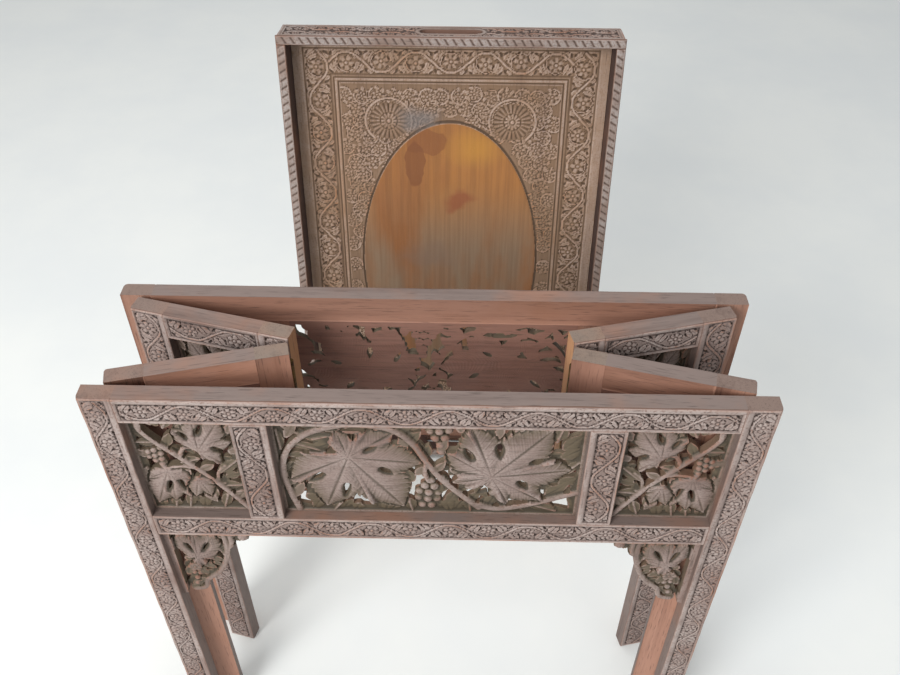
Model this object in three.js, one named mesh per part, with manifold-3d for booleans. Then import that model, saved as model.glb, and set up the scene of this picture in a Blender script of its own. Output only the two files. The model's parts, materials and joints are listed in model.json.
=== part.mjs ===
// A folding carved stand with its lift-off tray, in millimetres, +Z up.
//
// Two wide panels stand on their own legs. On each side two narrow leaves join them: every leaf is
// hinged to the inner face of its panel, and the two leaves of a side are hinged to each other on
// their carved faces, so the stand folds flat like a bellows. The tray leans behind the stand.
//
// Origin: the middle of the floor rectangle under the whole object. +X runs along the panels to
// the right, +Y from the front panel to the tray, +Z up.

import * as THREE from "three";
import { mergeVertices } from "three/addons/utils/BufferGeometryUtils.js";
import Module from "manifold-3d";

const wasm = await Module();
wasm.setup();

// ---- Driving dimensions: the stand ------------------------------------------------------------

const panelWidth = 600;
const standHeight = 600;
const boardThickness = 18;
const leafLength = 160; // one side leaf, along the board
const restAngle = THREE.MathUtils.degToRad(14); // between each leaf and its panel

const stileWidth = 30; // the legs of the two panels
const railHeight = 30;
const muntinWidth = 33; // the uprights between a panel's windows
const windowHeight = 136;
const sideWindowWidth = 96; // the two outer windows; the centre one takes what is left
const leafLegWidth = 34; // a leaf's stile beside its panel, which runs down to the floor
const foldStileWidth = 30; // a leaf's stile at the fold, which stops at the lower rail

const carvingRecess = 7.5; // how far a pierced carving lies behind the carved faces round it
const carvingMargin = 7; // the plain strip round a pierced field
const openworkDrop = 2; // how far the leaves and stems lie behind that strip
const bracketReach = 86; // a corner bracket, along the rail
const bracketDrop = 120; // and down the leg
const bracketStrip = 10; // its plain strip beside the leg and the rail

// ---- Driving dimensions: the tray -------------------------------------------------------------

const trayWidth = 430;
const trayLength = 675;
const trayDepth = 50;
const trayRim = 11.5; // thickness of the four rim boards
const trayBoard = 9; // thickness of the floor board
const trayFoot = 3; // how far the floor board sits in from the rim's back edge
const trayCarvingDepth = 1.6; // the carved ground round the plain oval
const ovalWidth = 248;
const ovalLength = 428;
const trayPlainStrip = 16.5; // the floor's plain strip inside the rim
const slotLength = 78;
const slotHeight = 17;
const slotFromRim = 28.7; // centre of a hand slot below the rim's open edge
const trayLean = THREE.MathUtils.degToRad(8.8); // the tray's top leans back to the wall
const trayFootGap = 331; // from the rear panel's carved face to the edge that the tray stands on
const traySideways = 8; // the tray stands a little to the right of the stand's middle

// ---- Driving dimensions: hinges and joints ----------------------------------------------------

const hingeHeight = 38;
const plateWidth = 10;
const plateThickness = 1.2;
const barrelRadius = 2.4;
const pinRadius = 1.2;
const pinClearance = 0.06; // running fit of a pin in its knuckle
const openPivotClearance = 0.35; // the pin of the line that closes the linkage
const knuckleGap = 0.3; // between knuckles, end to end
const hingeBelowTop = 44; // centre of the hinges below the stand's top
const faceGap = 1; // from a board's face to the hinge axis, so folded boards stay two apart
const foldEndGap = 0.5; // from a leaf's end to the fold axis
const letInClearance = 0.3; // between a hinge and the wood that it is let into

const jointGap = 0.2; // glue line between pieces of wood
const tenonLength = 14;
const tenonThickness = 6;
const tenonShoulder = 7;
const tongueDepth = 5; // the lip of a carving or of the tray floor in its groove
const tongueThickness = 4;
const tongueInset = 3; // from the flush face to the lip
const round = 16; // sides of a pin or barrel

// ---- Derived places ---------------------------------------------------------------------------

const carvingThickness = boardThickness - carvingRecess;
const topRailBase = standHeight - railHeight;
const windowBase = topRailBase - windowHeight;
const lowerRailBase = windowBase - railHeight;
const hingeZ = standHeight - hingeBelowTop;
const foldReach = leafLength + foldEndGap;
const hingeX = panelWidth / 2 - boardThickness - faceGap; // an open leaf is flush with the panel
const halfOpening =
  faceGap + foldReach * Math.sin(restAngle) + (2 * faceGap + boardThickness) * Math.cos(restAngle);
const standBack = halfOpening + boardThickness;
const trayFootY = standBack + trayFootGap;
const backmost = trayFootY + trayLength * Math.sin(trayLean);
const middleY = (backmost - standBack) / 2; // the origin's place, seen from the stand's middle

// ---- Materials --------------------------------------------------------------------------------

const carvedWood = new THREE.MeshStandardMaterial({ color: 0x6d5650, roughness: 0.72, metalness: 0 });
const openworkWood = new THREE.MeshStandardMaterial({ color: 0x75604f, roughness: 0.75, metalness: 0 });
const trayFloorWood = new THREE.MeshStandardMaterial({ color: 0x8a6238, roughness: 0.6, metalness: 0 });
const agedBrass = new THREE.MeshStandardMaterial({ color: 0x6e5a34, roughness: 0.45, metalness: 1 });

// ---- Solids -----------------------------------------------------------------------------------

/** A closed three.js geometry as a manifold solid. */
function solid(geometry) {
  const bare = geometry.clone();
  bare.deleteAttribute("normal");
  bare.deleteAttribute("uv");
  const merged = mergeVertices(bare, 1e-4);
  const vertProperties = merged.attributes.position.array;
  const triVerts = new Uint32Array(merged.index.array);
  return new wasm.Manifold(new wasm.Mesh({ numProp: 3, vertProperties, triVerts }));
}

/** A manifold solid as a flat-shaded three.js geometry. */
function geometryOf(body) {
  const { vertProperties, triVerts } = body.getMesh();
  const geometry = new THREE.BufferGeometry();
  geometry.setAttribute("position", new THREE.BufferAttribute(new Float32Array(vertProperties), 3));
  geometry.setIndex(new THREE.BufferAttribute(new Uint32Array(triVerts), 1));
  const faceted = geometry.toNonIndexed();
  faceted.computeVertexNormals();
  return faceted;
}

/** A box between two corners. */
function block(low, high) {
  const [width, depth, height] = low.map((value, i) => high[i] - value);
  const [x, y, z] = low.map((value, i) => (value + high[i]) / 2);
  return solid(new THREE.BoxGeometry(width, depth, height).translate(x, y, z));
}

/** An upright round bar about the point (x, y). */
function bar(radius, x, y, base, top, sides = round) {
  const geometry = new THREE.CylinderGeometry(radius, radius, top - base, sides);
  return solid(geometry.rotateX(Math.PI / 2).translate(x, y, (base + top) / 2));
}

/** An outline drawn in X and Z, made solid from y = back to y = front. */
function plate(outline, back, front, segments = 6) {
  const options = { depth: front - back, bevelEnabled: false, curveSegments: segments };
  const geometry = new THREE.ExtrudeGeometry(outline, options);
  return solid(geometry.rotateX(Math.PI / 2).translate(0, front, 0));
}

const join = (solids) => solids.reduce((whole, piece) => whole.add(piece));
const cut = (whole, cutters) => cutters.reduce((rest, cutter) => rest.subtract(cutter), whole);

/** A named mesh of one solid. */
function mesh(name, body, material) {
  const made = new THREE.Mesh(geometryOf(body), material);
  made.name = name;
  return made;
}

// ---- Openwork outlines ------------------------------------------------------------------------

/** A five-lobed vine leaf of the given reach about (x, z), its stalk pointing away from `turn`. */
function vineLeaf(x, z, reach, turn) {
  const lobes = [-2.25, -1.1, 0, 1.1, 2.25];
  const reaches = [0.68, 0.88, 1, 0.88, 0.68];
  const halfLobe = 0.3;
  const valley = 0.48;
  const points = [];
  const at = (angle, share) =>
    new THREE.Vector2(x + reach * share * Math.cos(turn + angle), z + reach * share * Math.sin(turn + angle));
  lobes.forEach((angle, i) => {
    points.push(at(angle - halfLobe, reaches[i] * 0.72));
    points.push(at(angle, reaches[i]));
    points.push(at(angle + halfLobe, reaches[i] * 0.72));
    points.push(at(angle + 0.56, valley));
  });
  return new THREE.Shape(points);
}

/** A pointed leaflet from (x, z) along `turn`. */
function leaflet(x, z, length, turn) {
  const half = length * 0.24;
  const side = new THREE.Vector2(-Math.sin(turn), Math.cos(turn)).multiplyScalar(half);
  const along = (share) =>
    new THREE.Vector2(x + length * share * Math.cos(turn), z + length * share * Math.sin(turn));
  const left = along(0.5).add(side);
  const right = along(0.5).sub(side);
  return new THREE.Shape([along(0), right, along(1), left]);
}

/** A stem of constant width along a curve in X and Z, given as points. */
function stem(points, width) {
  const curve = new THREE.SplineCurve(points.map(([x, z]) => new THREE.Vector2(x, z)));
  const steps = 2 * points.length;
  const sides = [[], []];
  for (let i = 0; i <= steps; i += 1) {
    const point = curve.getPoint(i / steps);
    const tangent = curve.getTangent(i / steps);
    const normal = new THREE.Vector2(-tangent.y, tangent.x).multiplyScalar(width / 2);
    sides[0].push(point.clone().add(normal));
    sides[1].unshift(point.clone().sub(normal));
  }
  return new THREE.Shape([...sides[0], ...sides[1]]);
}

const rectangle = (low, high) =>
  new THREE.Shape([
    new THREE.Vector2(low[0], low[1]),
    new THREE.Vector2(high[0], low[1]),
    new THREE.Vector2(high[0], high[1]),
    new THREE.Vector2(low[0], high[1]),
  ]);

/**
 * A pierced carving that fills a window: a plain margin with a lip all round, and vine leaves on
 * stems across the opening. `spread` is the list of leaves as shares of the field, from its centre.
 */
function carving(low, high, spread, stems) {
  const inLow = [low[0] + jointGap, low[1] + jointGap];
  const inHigh = [high[0] - jointGap, high[1] - jointGap];
  const fieldLow = inLow.map((value) => value + carvingMargin);
  const fieldHigh = inHigh.map((value) => value - carvingMargin);
  const centre = [(low[0] + high[0]) / 2, (low[1] + high[1]) / 2];
  const size = [fieldHigh[0] - fieldLow[0], fieldHigh[1] - fieldLow[1]];
  const place = ([x, z]) => [centre[0] + x * size[0], centre[1] + z * size[1]];
  const margin = plate(rectangle(inLow, inHigh), 0, carvingThickness).subtract(
    plate(rectangle(fieldLow, fieldHigh), -1, carvingThickness + 1),
  );
  const within = plate(rectangle(inLow, inHigh), 0, carvingThickness);
  const front = carvingThickness - openworkDrop;
  const leafWork = spread.map(([x, z, reach, turn]) =>
    plate(vineLeaf(...place([x, z]), reach * size[1], turn * Math.PI), 0, front),
  );
  const stemWork = stems.map((points) => plate(stem(points.map(place), size[1] * 0.055), 0, front));
  const sprigs = stems.flatMap((points) =>
    points.slice(1, -1).map((point, i) => {
      const turn = (i % 2 ? -0.6 : 0.35) * Math.PI;
      return plate(leaflet(...place(point), size[1] * 0.38, turn), 0, front);
    }),
  );
  const lip = block(
    [low[0] - tongueDepth, tongueInset, low[1] - tongueDepth],
    [high[0] + tongueDepth, tongueInset + tongueThickness, high[1] + tongueDepth],
  ).subtract(block([fieldLow[0], 0, fieldLow[1]], [fieldHigh[0], boardThickness, fieldHigh[1]]));
  const work = join([...leafWork, ...stemWork, ...sprigs]).intersect(within);
  return join([margin, lip, work]);
}

/** The groove that a window's carving lip needs in the wood round it. */
function windowGroove(low, high) {
  const reach = tongueDepth + letInClearance;
  return block(
    [low[0] - reach, tongueInset - letInClearance, low[1] - reach],
    [high[0] + reach, tongueInset + tongueThickness + letInClearance, high[1] + reach],
  );
}

/** Tenons at both ends of a rail, grown by `grow` when they cut their mortises. */
function railTenons(left, right, base, grow) {
  const y = [boardThickness / 2 - tenonThickness / 2, boardThickness / 2 + tenonThickness / 2];
  const z = [base + tenonShoulder - grow, base + railHeight - tenonShoulder + grow];
  return [
    block([left - tenonLength - grow, y[0] - grow, z[0]], [left + 1, y[1] + grow, z[1]]),
    block([right - 1, y[0] - grow, z[0]], [right + tenonLength + grow, y[1] + grow, z[1]]),
  ];
}

/** Tenons at the top and foot of a muntin, grown by `grow` when they cut their mortises. */
function muntinTenons(left, right, grow) {
  const x = [left + tenonShoulder - grow, right - tenonShoulder + grow];
  const y = [boardThickness / 2 - tenonThickness / 2 - grow, boardThickness / 2 + tenonThickness / 2 + grow];
  const reach = tenonLength + grow;
  return [
    block([x[0], y[0], windowBase - reach], [x[1], y[1], windowBase + 1]),
    block([x[0], y[0], topRailBase - 1], [x[1], y[1], topRailBase + reach]),
  ];
}

// ---- Hinges -----------------------------------------------------------------------------------

const knuckleHeight = hingeHeight / 3;
const hingeBase = hingeZ - hingeHeight / 2;
const middleBase = hingeBase + knuckleHeight;
const middleTop = middleBase + knuckleHeight;
const hingeTop = hingeBase + hingeHeight;

/** A hinge's flat plate about the axis at the origin: along +X, on wood that starts at y = faceGap. */
function hingePlate() {
  return block([0, faceGap, hingeBase], [plateWidth, faceGap + plateThickness, hingeTop]);
}

/** The plate that holds the pin: its knuckles are at the top and at the foot. */
function pinPlate() {
  const room = bar(barrelRadius + letInClearance, 0, 0, middleBase - knuckleGap, middleTop + knuckleGap);
  const leaf = hingePlate().subtract(room);
  const knuckles = [
    bar(barrelRadius, 0, 0, hingeBase, middleBase - knuckleGap),
    bar(barrelRadius, 0, 0, middleTop + knuckleGap, hingeTop),
    bar(pinRadius, 0, 0, hingeBase + 1, hingeTop - 1),
  ];
  return join([leaf, ...knuckles]);
}

/** The plate that turns on the pin: one bored knuckle at the middle. */
function sleevePlate(clearance) {
  const grown = (barrelRadius + letInClearance) / Math.cos(Math.PI / round);
  const rooms = [
    bar(grown, 0, 0, hingeBase - 1, middleBase),
    bar(grown, 0, 0, middleTop, hingeTop + 1),
  ];
  const knuckle = bar(barrelRadius, 0, 0, middleBase, middleTop);
  const bore = bar((pinRadius + clearance) / Math.cos(Math.PI / round), 0, 0, middleBase - 1, middleTop + 1);
  return cut(hingePlate(), rooms).add(knuckle).subtract(bore);
}

/** The recess that either plate and the whole barrel need in the wood. */
function hingeRecess() {
  const grown = (barrelRadius + letInClearance) / Math.cos(Math.PI / round);
  const base = hingeBase - letInClearance;
  const top = hingeTop + letInClearance;
  const seat = block(
    [-letInClearance, -letInClearance, base],
    [plateWidth + letInClearance, faceGap + plateThickness + letInClearance, top],
  );
  return seat.add(bar(grown, 0, 0, base, top));
}

// ---- The wide panels --------------------------------------------------------------------------

/** The outline of a corner bracket in the right-hand corner, from the leg towards the middle. */
function bracketOutline(legX) {
  const top = lowerRailBase - jointGap;
  const x = (share) => legX - share * bracketReach;
  const z = (share) => top - share * bracketDrop;
  const outline = new THREE.Shape();
  outline.moveTo(x(0), z(0));
  outline.lineTo(x(0), z(1));
  outline.lineTo(x(0.12), z(0.96));
  outline.quadraticCurveTo(x(0.4), z(0.97), x(0.37), z(0.78));
  outline.quadraticCurveTo(x(0.72), z(0.6), x(0.74), z(0.2));
  outline.quadraticCurveTo(x(0.86), z(0.24), x(0.88), z(0.14));
  outline.quadraticCurveTo(x(1), z(0.12), x(1), z(0));
  return outline;
}

/** A pierced corner bracket beside the right-hand leg. */
function bracket(legX) {
  const body = plate(bracketOutline(legX), 0, carvingThickness);
  const top = lowerRailBase - jointGap - bracketStrip;
  const x = (share) => legX - bracketStrip - share * (bracketReach - bracketStrip);
  const z = (share) => top - share * (bracketDrop - bracketStrip);
  const openings = [
    [[0.02, 0.02], [0.26, 0.02], [0.06, 0.2]],
    [[0.0, 0.34], [0.14, 0.5], [0.0, 0.62]],
    [[0.3, 0.6], [0.46, 0.36], [0.44, 0.54], [0.36, 0.62]],
    [[0.52, 0.24], [0.6, 0.04], [0.64, 0.06], [0.6, 0.3]],
    [[0.02, 0.7], [0.14, 0.66], [0.04, 0.86]],
  ];
  const cutters = openings.map((points) => {
    const outline = new THREE.Shape(points.map(([u, v]) => new THREE.Vector2(x(u), z(v))));
    return plate(outline, -1, carvingThickness + 1);
  });
  return cut(body, cutters);
}

/** A muntin and the window on its outer side are given by the window's inner edge. */
const windowEdge = panelWidth / 2 - stileWidth;
const muntinOuter = windowEdge - sideWindowWidth;
const muntinInner = muntinOuter - muntinWidth;

const centreLeaves = [
  [-0.24, -0.08, 0.46, 1.35],
  [0.26, 0.06, 0.47, 0.2],
  [-0.02, -0.36, 0.2, -0.5],
  [0.03, 0.38, 0.2, 0.5],
];
const centreStems = [
  [[-0.52, -0.3], [-0.44, 0.1], [-0.2, 0.44], [0.02, 0.1], [0.14, -0.3], [0.3, -0.44], [0.52, -0.3]],
  [[-0.52, 0.34], [-0.3, 0.2], [-0.1, 0.06], [0.1, 0.0], [0.4, -0.2], [0.52, -0.1]],
];
const sideLeaves = [
  [0.22, 0.24, 0.34, 0.4],
  [-0.2, -0.24, 0.34, 1.4],
  [-0.3, 0.2, 0.18, 0.8],
];
const sideStems = [
  [[0.52, -0.46], [0.2, -0.12], [-0.12, 0.14], [-0.3, 0.52]],
  [[0.52, 0.16], [0.2, 0.04], [-0.1, -0.06], [-0.52, 0.02]],
];

/** One wide panel, its plain face at y = 0 and its carved face at y = boardThickness. */
function widePanel(name) {
  const half = panelWidth / 2;
  const windows = {
    left: [[-windowEdge, windowBase], [-muntinOuter, topRailBase]],
    centre: [[-muntinInner, windowBase], [muntinInner, topRailBase]],
    right: [[muntinOuter, windowBase], [windowEdge, topRailBase]],
  };
  const grooves = Object.values(windows).map(([low, high]) => windowGroove(low, high));
  const rails = [topRailBase, lowerRailBase];
  const mortises = rails.flatMap((base) => railTenons(-windowEdge, windowEdge, base, letInClearance));
  const muntins = [[-muntinOuter, -muntinInner], [muntinInner, muntinOuter]];
  const muntinMortises = muntins.flatMap(([left, right]) => muntinTenons(left, right, letInClearance));

  const stile = block([windowEdge, 0, 0], [half, boardThickness, standHeight]);
  const rightRecess = hingeRecess().mirror([1, 0, 0]).translate([hingeX, -faceGap, 0]);
  const leftRecess = rightRecess.mirror([1, 0, 0]);
  const rightStile = cut(stile, [...grooves, ...mortises, rightRecess]);

  const parts = new THREE.Group();
  parts.add(mesh(`${name}_right_stile`, rightStile, carvedWood));
  parts.add(mesh(`${name}_left_stile`, rightStile.mirror([1, 0, 0]), carvedWood));
  rails.forEach((base, i) => {
    const ends = [-windowEdge + jointGap, windowEdge - jointGap];
    const body = block([ends[0], 0, base], [ends[1], boardThickness, base + railHeight]);
    const tenoned = join([body, ...railTenons(-windowEdge, windowEdge, base, 0)]);
    const rail = cut(tenoned, [...grooves, ...muntinMortises, rightRecess, leftRecess]);
    parts.add(mesh(`${name}_${["top", "lower"][i]}_rail`, rail, carvedWood));
  });
  muntins.forEach(([left, right], i) => {
    const z = [windowBase + jointGap, topRailBase - jointGap];
    const body = block([left, 0, z[0]], [right, boardThickness, z[1]]);
    const muntin = cut(join([body, ...muntinTenons(left, right, 0)]), grooves);
    parts.add(mesh(`${name}_${["left", "right"][i]}_muntin`, muntin, carvedWood));
  });
  const centre = carving(...windows.centre, centreLeaves, centreStems);
  const left = carving(...windows.left, sideLeaves, sideStems).subtract(leftRecess);
  parts.add(mesh(`${name}_centre_carving`, centre, openworkWood));
  parts.add(mesh(`${name}_left_carving`, left, openworkWood));
  parts.add(mesh(`${name}_right_carving`, left.mirror([1, 0, 0]), openworkWood));
  const rightBracket = bracket(windowEdge - jointGap);
  parts.add(mesh(`${name}_right_bracket`, rightBracket, openworkWood));
  parts.add(mesh(`${name}_left_bracket`, rightBracket.mirror([1, 0, 0]), openworkWood));

  const pinOnPanel = pinPlate().mirror([1, 0, 0]).translate([hingeX, -faceGap, 0]);
  parts.add(mesh(`${name}_right_hinge_panel_plate`, pinOnPanel, agedBrass));
  parts.add(mesh(`${name}_left_hinge_panel_plate`, pinOnPanel.mirror([1, 0, 0]), agedBrass));
  return parts;
}

// ---- The side leaves --------------------------------------------------------------------------

/**
 * One side leaf about its panel hinge at the origin: it runs along +X, its plain face at
 * y = faceGap and its carved face at y = faceGap + boardThickness.
 */
function sideLeaf(name, panelHinge, panelClearance, foldName, foldPlate) {
  const face = [0, faceGap, 0];
  const windowLow = [leafLegWidth, windowBase];
  const windowHigh = [leafLength - foldStileWidth, topRailBase];
  const groove = windowGroove(windowLow, windowHigh);
  const rails = [topRailBase, lowerRailBase];
  const mortises = rails.flatMap((base) => railTenons(windowLow[0], windowHigh[0], base, letInClearance));
  const foldAxis = [foldReach, 2 * faceGap + boardThickness, 0];
  const panelRecess = hingeRecess();
  const foldRecess = hingeRecess().mirror([1, 0, 0]).mirror([0, 1, 0]).translate(foldAxis);

  const leg = block([0, 0, 0], [windowLow[0], boardThickness, standHeight]);
  const fold = block([windowHigh[0], 0, lowerRailBase], [leafLength, boardThickness, standHeight]);
  const legCut = cut(leg, [groove, ...mortises]).translate(face).subtract(panelRecess);
  const foldCut = cut(fold, [groove, ...mortises]).translate(face).subtract(foldRecess);

  const parts = new THREE.Group();
  parts.add(mesh(`${name}_leg`, legCut, carvedWood));
  parts.add(mesh(`${name}_fold_stile`, foldCut, carvedWood));
  rails.forEach((base, i) => {
    const ends = [windowLow[0] + jointGap, windowHigh[0] - jointGap];
    const body = block([ends[0], 0, base], [ends[1], boardThickness, base + railHeight]);
    const rail = join([body, ...railTenons(windowLow[0], windowHigh[0], base, 0)]).subtract(groove);
    parts.add(mesh(`${name}_${["top", "lower"][i]}_rail`, rail.translate(face), carvedWood));
  });
  const openwork = carving(windowLow, windowHigh, sideLeaves, sideStems).translate(face);
  parts.add(mesh(`${name}_carving`, openwork, openworkWood));

  parts.add(mesh(`${panelHinge}_leaf_plate`, sleevePlate(panelClearance), agedBrass));
  const turned = foldPlate.mirror([1, 0, 0]).mirror([0, 1, 0]).translate(foldAxis);
  parts.add(mesh(foldName, turned, agedBrass));
  return parts;
}

// ---- The tray ---------------------------------------------------------------------------------

/** The tray standing upright: its back at y = 0, its open side at y = -trayDepth. */
function trayPieces() {
  const halfWidth = trayWidth / 2;
  const inside = halfWidth - trayRim;
  const floorFront = -trayFoot - trayBoard;
  const lipY = [-trayFoot - tongueInset - tongueThickness, -trayFoot - tongueInset];
  const lipReach = tongueDepth + letInClearance;
  const groove = block(
    [-inside - lipReach, lipY[0] - letInClearance, trayRim - lipReach],
    [inside + lipReach, lipY[1] + letInClearance, trayLength - trayRim + lipReach],
  );
  const tenon = (grow) => {
    const x = [inside + trayRim / 3 - grow, halfWidth - trayRim / 3 + grow];
    const y = [-trayDepth + tenonShoulder - grow, floorFront - tenonShoulder + grow];
    const reach = trayRim * 0.6 + grow;
    return block([x[0], y[0], trayRim - reach], [x[1], y[1], trayLength - trayRim + reach]);
  };
  const sideBody = block(
    [inside, -trayDepth, trayRim + jointGap],
    [halfWidth, 0, trayLength - trayRim - jointGap],
  );
  const side = join([sideBody, tenon(0)]).subtract(groove);

  const slotY = -trayDepth + slotFromRim;
  const slot = new THREE.Shape();
  const straight = (slotLength - slotHeight) / 2;
  slot.absarc(straight, 0, slotHeight / 2, -Math.PI / 2, Math.PI / 2);
  slot.absarc(-straight, 0, slotHeight / 2, Math.PI / 2, 1.5 * Math.PI);
  const slotOptions = { depth: trayRim + 2, bevelEnabled: false, curveSegments: 8 };
  const slotCut = solid(new THREE.ExtrudeGeometry(slot, slotOptions).translate(0, slotY, -1));
  const endBody = block([-halfWidth, -trayDepth, 0], [halfWidth, 0, trayRim]);
  const mortises = [tenon(letInClearance), tenon(letInClearance).mirror([1, 0, 0])];
  const lowerEnd = cut(endBody, [groove, slotCut, ...mortises]);
  const upperEnd = lowerEnd.mirror([0, 0, 1]).translate([0, 0, trayLength]);

  const boardBody = block(
    [-inside + jointGap, floorFront, trayRim + jointGap],
    [inside - jointGap, -trayFoot, trayLength - trayRim - jointGap],
  );
  const lip = block(
    [-inside - tongueDepth, lipY[0], trayRim - tongueDepth],
    [inside + tongueDepth, lipY[1], trayLength - trayRim + tongueDepth],
  );
  const field = block(
    [-inside + trayPlainStrip, floorFront - 1, trayRim + trayPlainStrip],
    [inside - trayPlainStrip, floorFront + trayCarvingDepth, trayLength - trayRim - trayPlainStrip],
  );
  const oval = new THREE.Shape();
  oval.absellipse(0, trayLength / 2, ovalWidth / 2, ovalLength / 2, 0, 2 * Math.PI);
  const plateau = plate(oval, floorFront - 2, -trayFoot - 1, 24);
  const board = join([boardBody, lip]).subtract(field.subtract(plateau));

  const parts = new THREE.Group();
  parts.add(mesh("tray_board", board, trayFloorWood));
  parts.add(mesh("tray_right_side", side, carvedWood));
  parts.add(mesh("tray_left_side", side.mirror([1, 0, 0]), carvedWood));
  parts.add(mesh("tray_lower_end", lowerEnd, carvedWood));
  parts.add(mesh("tray_upper_end", upperEnd, carvedWood));
  return parts;
}

// ---- The whole object -------------------------------------------------------------------------

const stand = new THREE.Group();
stand.position.y = -middleY;

// The rear half is drawn as it stands; the front half is its mirror image in the middle plane.
for (const [depthName, depthSign] of [["rear", 1], ["front", -1]]) {
  const panel = widePanel(depthName);
  panel.scale.y = depthSign;
  panel.position.y = depthSign * halfOpening;
  stand.add(panel);
  for (const [sideName, sideSign] of [["left", -1], ["right", 1]]) {
    const closesLinkage = depthName === "front" && sideName === "right";
    const leaf = sideLeaf(
      `${depthName}_${sideName}_leaf`,
      `${depthName}_${sideName}_hinge`,
      closesLinkage ? openPivotClearance : pinClearance,
      `${sideName}_fold_hinge_${depthName}_plate`,
      depthName === "rear" ? pinPlate() : sleevePlate(pinClearance),
    );
    leaf.rotation.z = Math.PI + restAngle;
    leaf.position.set(hingeX, halfOpening - faceGap, 0);
    const mirrored = new THREE.Group();
    mirrored.scale.set(sideSign, depthSign, 1);
    mirrored.add(leaf);
    stand.add(mirrored);
  }
}

const tray = trayPieces();
tray.rotation.x = -trayLean;
tray.position.set(traySideways, trayFootY - middleY, 0);

const object = new THREE.Group();
object.add(stand, tray);

export default object;
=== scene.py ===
"""Looks of a folding carved stand, and of the carved tray that leans behind it.

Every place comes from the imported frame. A carving's sizes are millimetres on the board that is
carved, and a finished mesh is in metres, in the frame's axes.
"""

import json
import logging
import math
from dataclasses import dataclass, field
from enum import Enum
from typing import Any, Callable, Iterator, Sequence

import bmesh
import bpy
import numpy as np
from mathutils import Matrix, Vector

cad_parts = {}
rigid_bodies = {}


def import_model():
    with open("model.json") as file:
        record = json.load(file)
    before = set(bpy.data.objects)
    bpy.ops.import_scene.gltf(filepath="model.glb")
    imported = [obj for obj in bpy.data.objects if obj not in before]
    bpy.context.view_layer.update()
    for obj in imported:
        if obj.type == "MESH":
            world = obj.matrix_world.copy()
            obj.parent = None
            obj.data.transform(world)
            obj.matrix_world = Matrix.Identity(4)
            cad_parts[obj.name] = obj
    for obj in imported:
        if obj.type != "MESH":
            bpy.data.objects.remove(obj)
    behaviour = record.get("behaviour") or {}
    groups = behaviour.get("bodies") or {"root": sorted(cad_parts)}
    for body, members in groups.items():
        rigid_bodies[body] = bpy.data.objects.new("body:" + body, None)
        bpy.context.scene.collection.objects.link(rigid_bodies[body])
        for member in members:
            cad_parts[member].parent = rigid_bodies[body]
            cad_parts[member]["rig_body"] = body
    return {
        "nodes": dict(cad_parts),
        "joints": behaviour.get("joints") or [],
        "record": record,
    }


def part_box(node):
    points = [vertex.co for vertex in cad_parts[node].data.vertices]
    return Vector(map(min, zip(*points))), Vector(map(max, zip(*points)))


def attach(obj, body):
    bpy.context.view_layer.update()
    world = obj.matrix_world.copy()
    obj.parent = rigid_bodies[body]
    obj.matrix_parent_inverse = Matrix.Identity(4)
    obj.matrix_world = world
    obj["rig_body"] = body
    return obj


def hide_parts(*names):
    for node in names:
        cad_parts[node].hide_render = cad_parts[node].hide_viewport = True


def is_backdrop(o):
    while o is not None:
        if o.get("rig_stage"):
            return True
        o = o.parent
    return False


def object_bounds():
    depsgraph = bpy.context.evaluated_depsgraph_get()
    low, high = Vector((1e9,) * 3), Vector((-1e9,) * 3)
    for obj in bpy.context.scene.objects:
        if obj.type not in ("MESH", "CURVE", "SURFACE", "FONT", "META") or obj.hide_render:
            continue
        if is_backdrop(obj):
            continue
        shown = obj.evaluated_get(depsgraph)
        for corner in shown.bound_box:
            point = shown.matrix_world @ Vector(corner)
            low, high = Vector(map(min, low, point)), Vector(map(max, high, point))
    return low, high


LOG = logging.getLogger("stand")
MM = 0.001
SHARP = math.radians(48)
TILE = 12  # grid cells along a tile of flat faces that are joined into one
FAR = 99.0  # millimetres, further than any outline

Point = tuple[float, float]
Colour = tuple[float, float, float]
Area = tuple[slice, slice]
WHOLE: Area = (slice(None), slice(None))


class Slot(Enum):
    """The record's finishes."""

    CARVED = "carved_wood"
    OPENWORK = "openwork_wood"
    TRAY = "tray_floor_wood"
    BRASS = "aged_brass"


class Surface(Enum):
    """The kinds of surface on a board, kept as a number on each face."""

    CARVED = 0.0
    CUT = 1.0
    END = 1.3
    BACK = 2.0

    def limit(self) -> float:
        """A number between this kind's own and the next lower one."""
        lower = max((kind.value for kind in Surface if kind.value < self.value), default=-1.0)
        return (self.value + lower) / 2


class Side(Enum):
    """Left and right as seen from the front, as signs along X."""

    LEFT = -1
    RIGHT = 1


class Depth(Enum):
    """The front and the rear half of the folding frame, as signs along Y."""

    FRONT = -1
    REAR = 1


def colour(red: int, green: int, blue: int) -> Colour:
    """Turns a display colour into the linear one that shaders take.

    Args:
        red: 0 to 255.
        green: 0 to 255.
        blue: 0 to 255.

    Returns:
        The linear colour.
    """
    shares = [c / 255 for c in (red, green, blue)]
    return tuple(c / 12.92 if c < 0.04 else ((c + 0.055) / 1.055) ** 2.4 for c in shares)


def soften(values: np.ndarray, cells: int) -> np.ndarray:
    """Blurs a grid of values with a square brush.

    Args:
        values: The grid.
        cells: Half the brush's width, in grid cells.

    Returns:
        The blurred grid.
    """
    brush = np.ones(2 * cells + 1) / (2 * cells + 1)
    for axis in (0, 1):
        edges = [(cells, cells) if a == axis else (0, 0) for a in (0, 1)]
        padded = np.pad(values, edges, mode="edge")
        values = np.apply_along_axis(np.convolve, axis, padded, brush, mode="valid")
    return values


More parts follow.
